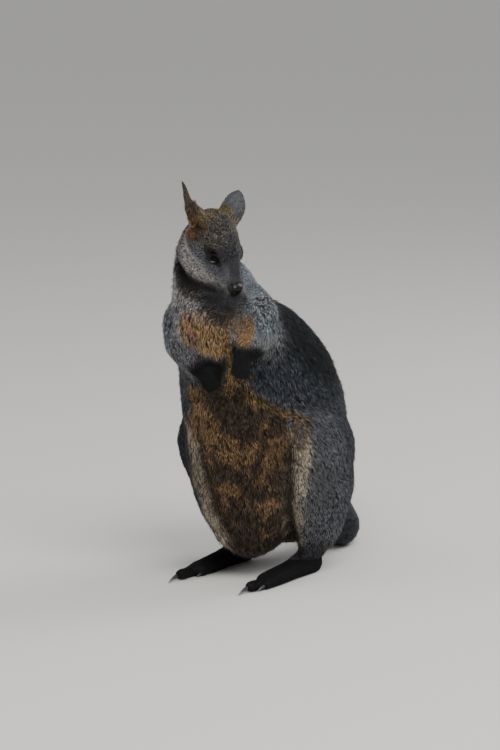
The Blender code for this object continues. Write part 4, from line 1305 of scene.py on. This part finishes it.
def turned(vectors, axes, angles):
    """Vectors turned about axes that they are square to."""
    return vectors * np.cos(angles)[:, None] + np.cross(axes, vectors) * np.sin(angles)[:, None]


WAVE_SIZE, WAVE_TURN = 0.035, math.radians(26)  # slow waves in the lie of the coat
LOCK_TURN = math.radians(10)
TUFT_TURN = math.radians(7)
wave = (noise(root, WAVE_SIZE, 11) - 0.5) * WAVE_TURN
angle = wave + chance.normal(0, LOCK_TURN, len(leaders))[lock] + chance.normal(0, TUFT_TURN, roots)
run = turned(run, normal, angle)
print("locks:", len(leaders))

# %% How long, wide and high each tuft is
TUFT_LENGTHS, LOCK_LENGTHS = (0.75, 1.15), (0.90, 1.10)  # least and most, as shares of the table's
TUFT_LIFTS, LOCK_LIFTS = (0.80, 1.05), (0.85, 1.15)
TUFT_WIDTHS = (0.90, 1.30)
PROUD_SHARE = 0.07  # single guard hairs that stand clear of the rest
PROUD_LIFT, PROUD_WIDTH = 1.45, 0.7


def by_lock(low, high):
    """One number drawn for each lock, given to all of its tufts."""
    return chance.uniform(low, high, len(leaders))[lock]


length = coat[:, 1] * chance.uniform(*TUFT_LENGTHS, roots) * by_lock(*LOCK_LENGTHS)
width = coat[:, 2] * chance.uniform(*TUFT_WIDTHS, roots)
lift = coat[:, 0] * chance.uniform(*TUFT_LIFTS, roots) * by_lock(*LOCK_LIFTS)
proud = chance.random(roots) < PROUD_SHARE
lift = lift * np.where(proud, PROUD_LIFT, 1.0)
width = width * np.where(proud, PROUD_WIDTH, 1.0)
print("tufts from %.1f to %.1f mm long" % (length.min() * 1000, length.max() * 1000))

# %% Where the root, the bend and the tip of each tuft are
LOCK_PULL = 0.30  # how far a tip leans to the tip of its lock's leader
MOST_LEAN, BEND_LEAN = 0.35, 0.25  # the most of it, in lengths, and the bend's share of it
BEND = 0.42  # where along the tuft it bends
BEND_LIFT = 0.62  # how high it is there, as a share of the tip's height
COMMON_RISE = math.radians(24)
ROOT_DEPTH = 0.0006
SAME_SKIN = 0.2  # the least agreement of two normals of the same stretch of skin
OWN_NORMAL = 0.6  # how much the root's own normal counts beside the one under the tip

tip = root + run * length[:, None]
bend = root + run * (length * BEND)[:, None]
lean = (tip[leaders][lock] - tip) * LOCK_PULL
lean -= normal * (lean * normal).sum(axis=1, keepdims=True)
lean *= np.minimum(1, MOST_LEAN * length / np.maximum(np.linalg.norm(lean, axis=1), 1e-6))[:, None]
tip += lean
bend += lean * BEND_LEAN

first = np.cumsum([0] + [len(bed["places"]) for bed in beds])
hide = BVHTree.FromPolygons(
    np.concatenate([bed["places"] for bed in beds]).tolist(),
    np.concatenate([bed["corners"] + start for bed, start in zip(beds, first)]).tolist(),
)


def over_skin(places, height, normals):
    """Places moved to this height over the nearest skin, unless that skin belongs to something else."""
    moved = places + normals * height[:, None]
    for i, place in enumerate(places):
        spot, facing, _, _ = hide.find_nearest(place)
        facing = np.array(facing)
        if facing @ normals[i] > SAME_SKIN:
            blended = facing + OWN_NORMAL * normals[i]
            moved[i] = np.array(spot) + blended / np.sqrt(blended @ blended) * height[i]
    return moved


steep = np.sin(coat[:, 3]) / math.sin(COMMON_RISE)
bend = over_skin(bend, lift * BEND_LIFT * steep, normal)
tip = over_skin(tip, lift, normal)
root = root - normal * ROOT_DEPTH
print("tips over the roots, mm: %.1f on average" % (((tip - root) * normal).sum(axis=1).mean() * 1000))

# %% [markdown]
# ## Colours of the tufts
# Each tuft takes its two colours from the skin at its root. Only a share of the tufts show
# the pale band, which is what makes a grizzled coat look salted rather than grey, and a
# small change of strength from lock to lock keeps large areas from looking printed.

# %% Give each tuft its colours
TUFT_STRENGTH, LOCK_STRENGTH = 0.10, 0.09  # how much the strength differs
BLOTCH_SIZE, BLOTCH_LEAST, BLOTCH_GAIN = 0.03, 0.82, 0.36  # and over patches of the coat
STRENGTHS = (0.5, 1.6)
FAINT_BAND = 0.22  # how much of the band a tuft without one shows
BAND_SHIFT = 0.15  # how far the band sits nearer the root or the tip

strength = chance.normal(1.0, TUFT_STRENGTH, roots) * chance.normal(1.0, LOCK_STRENGTH, len(leaders))[lock]
strength *= BLOTCH_LEAST + BLOTCH_GAIN * noise(root, BLOTCH_SIZE, 21)
strength = np.clip(strength, *STRENGTHS)[:, None]
deep = np.clip(colour[:, :3] * strength, 0, 1)
band = np.clip(colour[:, 3:6] * strength, 0, 1)
banded = chance.random(roots) < colour[:, 6]
faint = deep + (band - deep) * FAINT_BAND
band = np.where(banded[:, None], band, faint)
shift = chance.uniform(-BAND_SHIFT, BAND_SHIFT, roots)
print("banded tufts: %.0f %%" % (banded.mean() * 100))

# %% [markdown]
# ## A map of the skin for the coat's colours
# Baked colours need a flat map. The skin is cut into islands, one for each solid and each
# of the six main directions its surface faces, laid flat at one common scale and packed on
# shelves like folded hides. A tuft takes a patch 3 mm across at its root's place.

# %% Lay the skin flat
PATCH = 0.003
ISLAND_GAP = 0.006


def lay_flat(places, normals, solid):
    """Flat places from 0 to 1 for the roots, and the scale from metres to the map."""
    axis = np.abs(normals).argmax(axis=1)
    facing = normals[np.arange(len(normals)), axis] > 0
    island = solid * 6 + axis * 2 + facing
    flat = np.column_stack([
        np.where(axis == 0, places[:, 1], places[:, 0]),
        np.where(axis == 2, places[:, 1], places[:, 2]),
    ])
    names, island = np.unique(island, return_inverse=True)
    low = np.array([flat[island == i].min(axis=0) for i in range(len(names))]) - ISLAND_GAP
    high = np.array([flat[island == i].max(axis=0) for i in range(len(names))]) + ISLAND_GAP
    size = high - low
    side = math.sqrt(size.prod(axis=1).sum()) * 1.12
    corner_at = np.zeros_like(low)
    x = y = shelf = 0.0
    for i in np.argsort(-size[:, 1], kind="stable"):
        if x + size[i, 0] > side:
            x, y, shelf = 0.0, y + shelf, 0.0
        corner_at[i] = x, y
        x += size[i, 0]
        shelf = max(shelf, size[i, 1])
    scale = 1 / max(side, y + shelf)
    return (flat - low[island] + corner_at[island]) * scale, scale


map_place, map_scale = lay_flat(root, normal, solid)
print("map side, m: %.2f, islands from %d solids" % (1 / map_scale, len(set(solid))))

# %% [markdown]
# ## One tuft, many times
# A tuft is a closed, slightly flattened spindle: one point in the skin at the root, three
# round the bend and one at the tip, with a ridge along its back that catches the light as a
# lock of hair does. The arrays hold all tufts at once, and each piece takes a run of them.

# %% Build the pieces of coat
RING = np.array([[-0.5, -0.12], [0.5, -0.12], [0.0, 0.36]])  # across and up, in widths
TUFT_POINTS = 5
TUFT_FACES = [[2, 1, 0], [3, 2, 0], [1, 3, 0], [1, 2, 4], [2, 3, 4], [3, 1, 4]]
TUFTS_PER_PIECE = 32500
CLEAR_OF_FLOOR = 0.0003

run_to_bend = unit(bend - root)
run_to_tip = unit(tip - bend)
across = unit(np.cross(normal, run_to_bend))
ridge = unit(np.cross(run_to_tip + run_to_bend, across))
ridge *= np.sign((ridge * normal).sum(axis=1, keepdims=True))


def ring_at(centre, breadth):
    """Three points round each centre."""
    return (
        centre[:, None]
        + across[:, None] * (RING[:, 0] * breadth[:, None])[:, :, None]
        + ridge[:, None] * (RING[:, 1] * breadth[:, None])[:, :, None]
    )


tuft_points = np.concatenate([root[:, None], ring_at(bend, width), tip[:, None]], axis=1)
tuft_points[:, :, 2] = np.maximum(tuft_points[:, :, 2], CLEAR_OF_FLOOR)
ALONG = np.array([0, BEND, BEND, BEND, 1.0])
PATCH_X = np.array([0.0, -0.5, 0.5, 0.0, 0.0])
PATCH_Y = np.array([0, 0.45, 0.45, 0.45, 1.0]) - 0.5


def paint(mesh, name, colours):
    """Stores one colour for each point of a mesh."""
    chart = mesh.attributes.new(name, "FLOAT_COLOR", "POINT")
    chart.data.foreach_set("color", np.column_stack([colours, np.ones(len(colours))]).ravel())


def coat_piece(name, chosen):
    """One closed mesh that holds the chosen tufts."""
    count = len(chosen)
    step = (np.arange(count) * TUFT_POINTS)[:, None]
    faces = np.concatenate([(step + face).reshape(count, -1) for face in TUFT_FACES], axis=1)
    sizes = np.tile([len(face) for face in TUFT_FACES], count)
    mesh = bpy.data.meshes.new(name)
    mesh.vertices.add(count * TUFT_POINTS)
    mesh.vertices.foreach_set("co", tuft_points[chosen].ravel())
    mesh.loops.add(sizes.sum())
    mesh.loops.foreach_set("vertex_index", faces.ravel())
    mesh.polygons.add(len(sizes))
    mesh.polygons.foreach_set("loop_start", np.cumsum(sizes) - sizes)
    mesh.update(calc_edges=True)
    mesh.validate()
    mesh.shade_smooth()
    paint(mesh, "deep", np.repeat(deep[chosen], TUFT_POINTS, axis=0))
    paint(mesh, "band", np.repeat(band[chosen], TUFT_POINTS, axis=0))
    note(mesh, "along", (ALONG + shift[chosen, None]).ravel())
    flat = map_place[chosen, None] + np.column_stack([PATCH_X, PATCH_Y]) * (PATCH * map_scale)
    chart = mesh.uv_layers.new(name="OFBake")
    chart.data.foreach_set("uv", flat.reshape(-1, 2)[faces.ravel()].ravel())
    piece = bpy.data.objects.new(name, mesh)
    bpy.context.scene.collection.objects.link(piece)
    return piece


COATS = {
    # slot: the solids whose tufts it holds
    "grizzled_fur": ("head", "muzzle", "lower_jaw", "neck", "upper_arm", "forearm", "thigh", "shank"),
    "dark_fur": ("back", "rump"),
    "rufous_fur": ("chest", "belly"),
    "black_fur": ("hand", "foot", "tail"),
    "ear_skin": ("ear",),
}
hairy = np.array(flesh + list(EAR_LINES))
coat_pieces = []
for slot, words in COATS.items():
    of_slot = np.array([name.startswith(words) for name in hairy])
    chosen = np.flatnonzero(of_slot[solid])
    chosen = chosen[np.argsort(solid[chosen], kind="stable")]
    parts_of_slot = math.ceil(len(chosen) / TUFTS_PER_PIECE)
    for i, share in enumerate(np.array_split(chosen, parts_of_slot)):
        piece = coat_piece("coat_%s_%d" % (slot, i + 1), share)
        coat_pieces.append(piece)
print("pieces of coat:", len(coat_pieces), "triangles:", roots * len(TUFT_FACES))

# %% [markdown]
# ## Finish of the coat and of the skin beneath
# A hair of this animal is dark at the root, pale in a band past the middle and dark again
# at the tip, and it is slightly glossy along its length. The skin between the tufts is in
# their shade, so it takes mostly the deep colour, with a fine grain of lighter hairs where
# the coat is short and a shallow bump in place of hairs that lie flat.

# %% Fur
BAND_STOPS = ((0.00, 0.0), (0.42, 0.08), (0.60, 1.0), (0.86, 1.0), (1.00, 0.20))


def set_stops(ramp, stops):
    """Fills a ramp with stops of a place from 0 to 1 and a grey level or a paint-chart colour."""
    elements = ramp.color_ramp.elements
    while len(elements) < len(stops):
        elements.new(0.5)
    for element, (place, shade) in zip(elements, stops):
        element.position = place
        element.color = rgba(shade) if isinstance(shade, str) else (shade, shade, shade, 1)


def mix_of_deep_and_band(tree, shader, share):
    """The coat's two stored colours, mixed by this share, as the colour of the finish."""
    deep_of, band_of = (
        add_node(tree, "ShaderNodeAttribute", {"attribute_name": name}).outputs["Color"]
        for name in ("deep", "band")
    )
    mixed = add_node(tree, "ShaderNodeMix", {"data_type": "RGBA"}, links={0: share, 6: deep_of, 7: band_of})
    tree.links.new(mixed.outputs[2], shader.inputs["Base Color"])


# guard hair in locks: dark root, pale band, dark tip, slightly glossy
fur, tree, shader = new_material("wallaby guard hair", {"Roughness": 0.58, "Specular IOR Level": 0.30})
along = add_node(tree, "ShaderNodeAttribute", {"attribute_name": "along"})
ramp = add_node(tree, "ShaderNodeValToRGB", links={"Fac": along.outputs["Fac"]})
set_stops(ramp, BAND_STOPS)
mix_of_deep_and_band(tree, shader, ramp.outputs["Color"])
for piece in coat_pieces:
    piece.data.materials.append(fur)

# skin with flat hair: mostly the deep colour, flecked with the band about every millimetre
hide_finish, tree, shader = new_material(
    "wallaby hide with underfur", {"Roughness": 0.66, "Specular IOR Level": 0.25}
)
place = add_node(tree, "ShaderNodeTexCoord").outputs["Object"]
fleck = add_node(
    tree, "ShaderNodeTexNoise", values={"Scale": 900.0, "Detail": 2.0}, links={"Vector": place}
).outputs["Fac"]
level = add_node(
    tree, "ShaderNodeMapRange",
    values={"From Min": 0.40, "From Max": 0.66, "To Min": 0.12, "To Max": 0.72},
    links={"Value": fleck},
)
mix_of_deep_and_band(tree, shader, level.outputs["Result"])
bump = add_node(
    tree, "ShaderNodeBump", values={"Strength": 0.5, "Distance": 0.0006}, links={"Height": fleck}
)
tree.links.new(bump.outputs["Normal"], shader.inputs["Normal"])
paint(skin.data, "deep", skin_rows[:, :3])
paint(skin.data, "band", skin_rows[:, 3:6])
skin.data.materials.clear()
skin.data.materials.append(hide_finish)
print("finishes:", [material.name for material in bpy.data.materials if "wallaby" in material.name])

# %% Eyes, lids and nose
GAZE_STOPS = (
    (0.00, "020202"), (0.34, "030202"), (0.42, "0e0806"), (0.62, "110a07"), (0.74, "050404"),
    (1.00, "0a0808"),
)

# cornea over a brown iris and a wide pupil
eye_finish, tree, shader = new_material(
    "wallaby eye under a wet cornea", {"Roughness": 0.05, "Specular IOR Level": 0.10}
)
off_gaze = add_node(tree, "ShaderNodeAttribute", {"attribute_name": "off_gaze"})
iris = add_node(tree, "ShaderNodeValToRGB", links={"Fac": off_gaze.outputs["Fac"]})
set_stops(iris, GAZE_STOPS)
tree.links.new(iris.outputs["Color"], shader.inputs["Base Color"])

# moist black lid skin with a pale lower edge
lid_finish, tree, shader = new_material("moist lid skin", {"Roughness": 0.42, "Specular IOR Level": 0.22})
pale = add_node(tree, "ShaderNodeAttribute", {"attribute_name": "pale"})
lid = add_node(tree, "ShaderNodeValToRGB", links={"Fac": pale.outputs["Fac"]})
set_stops(lid, ((0.0, "0b0a0b"), (1.0, "b3a7a6")))
tree.links.new(lid.outputs["Color"], shader.inputs["Base Color"])

# bare nose leather with pebbles about 0.7 mm across
nose_finish, tree, shader = new_material(
    "moist nose leather", {"Base Color": rgba("050506"), "Roughness": 0.33, "Specular IOR Level": 0.32}
)
place = add_node(tree, "ShaderNodeTexCoord").outputs["Object"]
pebbles = add_node(tree, "ShaderNodeTexVoronoi", values={"Scale": 1400.0}, links={"Vector": place})
bump = add_node(
    tree, "ShaderNodeBump", {"invert": True}, {"Strength": 0.35, "Distance": 0.00020},
    {"Height": pebbles.outputs["Distance"]},
)
tree.links.new(bump.outputs["Normal"], shader.inputs["Normal"])

for ball in balls:
    ball.data.materials.append(eye_finish)
for rim in rims:
    rim.data.materials.append(lid_finish)
nose.data.materials.append(nose_finish)
print("finishes in all:", len(bpy.data.materials))

# %% Ear skin
# thin blue-grey skin inside, faintly clouded every 6 mm or so, and near-black towards the back
ear_finish, tree, shader = new_material("thin ear skin", {"Roughness": 0.55, "Specular IOR Level": 0.3})
inner = add_node(tree, "ShaderNodeAttribute", {"attribute_name": "inner"})
place = add_node(tree, "ShaderNodeTexCoord").outputs["Object"]
veins = add_node(tree, "ShaderNodeTexNoise", values={"Scale": 160.0, "Detail": 3.0}, links={"Vector": place})
skin_tone = add_node(tree, "ShaderNodeValToRGB", links={"Fac": veins.outputs["Fac"]})
set_stops(skin_tone, ((0.30, "292b32"), (0.70, "57595f")))
mixed = add_node(
    tree, "ShaderNodeMix", {"data_type": "RGBA"}, {6: rgba("171514")},
    {0: inner.outputs["Fac"], 7: skin_tone.outputs["Color"]},
)
tree.links.new(mixed.outputs[2], shader.inputs["Base Color"])
for ear in ears.values():
    mesh = ear["object"].data
    near, far = (spread(ear["inside"] * 1.0, edge_ends(mesh), rounds)[:, 0] for rounds in (3, 40))
    note(mesh, "inner", rise(0.80, 0.97, near) * rise(0.62, 0.90, far))
    mesh.materials.clear()
    mesh.materials.append(ear_finish)
print("ears finished:", list(ears))

# %% [markdown]
# ## Claws
# The claws are horn: dark grey at the root, paler and a little see-through towards the tip,
# with fine lines along them. The solids are faceted, so each is copied and rounded.

# %% Round and colour the claws
HORN = {
    "toe": ("grey toe horn", ((0.0, "1d1d20"), (0.5, "3c3d42"), (1.0, "7c7f85"))),
    "finger": ("dark finger horn", ((0.0, "0f0f11"), (0.6, "1d1e21"), (1.0, "43454a"))),
}
claw_finishes = {}
for limb, (name, stops) in HORN.items():
    claw_finishes[limb], tree, shader = new_material(name, {"Roughness": 0.42, "Specular IOR Level": 0.45})
    tipward = add_node(tree, "ShaderNodeAttribute", {"attribute_name": "tipward"})
    ramp = add_node(tree, "ShaderNodeValToRGB", links={"Fac": tipward.outputs["Fac"]})
    set_stops(ramp, stops)
    tree.links.new(ramp.outputs["Color"], shader.inputs["Base Color"])
claws = []
for node in sorted(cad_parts):
    if not node.startswith("claw_"):
        continue
    claw = smoothed_copy("horn_" + node, node, 2)
    places = read(claw.data.vertices, "co", 3)
    limb = "toe" if "toe" in node else "finger"
    root_node = {"toe": "foot_", "finger": "hand_"}[limb] + node.rsplit("_", 1)[1]
    away = distance_to(places, centre_of(root_node))
    note(claw.data, "tipward", (away - away.min()) / np.ptp(away))
    claw.data.materials.clear()
    claw.data.materials.append(claw_finishes[limb])
    claws.append((claw, node))
print("claws:", len(claws))

# %% [markdown]
# ## Whiskers and lashes
# Dark whiskers stand in rows on the pad beside the nose, with a few over the eye, and short
# lashes fringe the upper lid. Each is a thin closed cone that curves a little backwards.

# %% Grow whiskers and lashes
WHISKER_ROOT, LASH_ROOT = 0.00022, 0.00016
WHISKER_STEPS = 5
CORNERS = (0, 2 * math.pi / 3, 4 * math.pi / 3)
# rows beside the nose: (first root, last root in the head's frame, how many, shortest, longest)
WHISKER_ROWS = [
    ((0.0130, -0.054, -0.0230), (0.0180, -0.036, -0.0200), 4, 0.020, 0.034),
    ((0.0140, -0.053, -0.0290), (0.0190, -0.034, -0.0270), 4, 0.024, 0.042),
    ((0.0135, -0.050, -0.0345), (0.0190, -0.032, -0.0340), 4, 0.022, 0.038),
    ((0.0260, -0.010, 0.0100), (0.0290, 0.000, 0.0110), 2, 0.014, 0.020),
]
LASHES, LASH_LENGTH = 16, 0.0055


def bristle(bm, start, ahead, droop, length_of, radius):
    """Adds one closed, tapering, curved hair of three sides."""
    ahead, droop = np.asarray(ahead), np.asarray(droop)
    side_way = unit(np.cross(ahead, droop)[None])[0]
    up_way = np.cross(side_way, ahead)
    rings = []
    for step in range(WHISKER_STEPS):
        share = step / (WHISKER_STEPS - 1)
        middle = start + ahead * (length_of * share) + droop * (length_of * 0.35 * share**2)
        breadth = radius * (1 - 0.85 * share)
        ways_out = [side_way * math.cos(turn) + up_way * math.sin(turn) for turn in CORNERS]
        rings.append([bm.verts.new(middle + way_out * breadth) for way_out in ways_out])
    bm.faces.new(rings[0][::-1])
    bm.faces.new(rings[-1])
    for here, there in zip(rings, rings[1:]):
        for i in range(3):
            bm.faces.new((here[i], here[(i + 1) % 3], there[(i + 1) % 3], there[i]))


bm = bmesh.new()
for node, side in reversed(EYE_SIDES.items()):
    for first_root, last_root, count, short, long in WHISKER_ROWS:
        for i in range(count):
            share = i / max(count - 1, 1)
            place_at = np.array(first_root) * (1 - share) + np.array(last_root) * share
            place_at = from_head((place_at * [side, 1, 1])[None])[0]
            spot, facing, _, _ = hide.find_nearest(place_at)
            outward_way = np.array(in_head(side * 0.5, -0.15 + 0.7 * share, -0.1).normalized())
            ahead = unit((np.array(facing) + outward_way)[None])[0]
            droop = np.array(in_head(side * 0.1, 0.7, -0.6).normalized())
            long_as = short + (long - short) * chance.random()
            bristle(bm, np.array(spot), ahead, droop, long_as, WHISKER_ROOT)
    centre, gaze, front, up = (np.array(v) for v in frame_of_eye(node))
    for turn in np.radians(np.linspace(25, 155, LASHES)):
        away = math.radians(float(lid_angle(turn)) + 4)
        out_way = math.cos(turn) * front + math.sin(turn) * up
        aim = math.cos(away) * gaze + math.sin(away) * out_way
        ahead = unit((aim * 0.9 + out_way * 0.6)[None])[0]
        start = centre + aim * (EYE_RADIUS + 0.0008)
        bristle(bm, start, ahead, -up, LASH_LENGTH * chance.uniform(0.8, 1.2), LASH_ROOT)
bmesh.ops.recalc_face_normals(bm, faces=bm.faces[:])
whiskers = to_object("whiskers", bm)
whisker_finish, _, _ = new_material("whisker", {"Base Color": rgba("0f0e10"), "Roughness": 0.4})
whiskers.data.materials.append(whisker_finish)
print("whiskers and lashes, faces:", len(whiskers.data.polygons))

# %% [markdown]
# ## What each piece stands for
# Every piece rides on the one body of the row. The skin stands for all the solids of flesh,
# and the balls, nose, ears and claws each stand for their own solid.

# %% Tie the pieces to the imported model
for piece in coat_pieces + rims + [whiskers]:
    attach(piece, "root")
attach(skin, "root")
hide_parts(*flesh)
for ball, node in zip(balls, EYE_SIDES):
    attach(ball, "root")
    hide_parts(node)
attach(nose, "root")
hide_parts("nose_pad")
for node, ear in ears.items():
    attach(ear["object"], "root")
    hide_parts(node)
for claw, node in claws:
    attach(claw, "root")
    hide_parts(node)
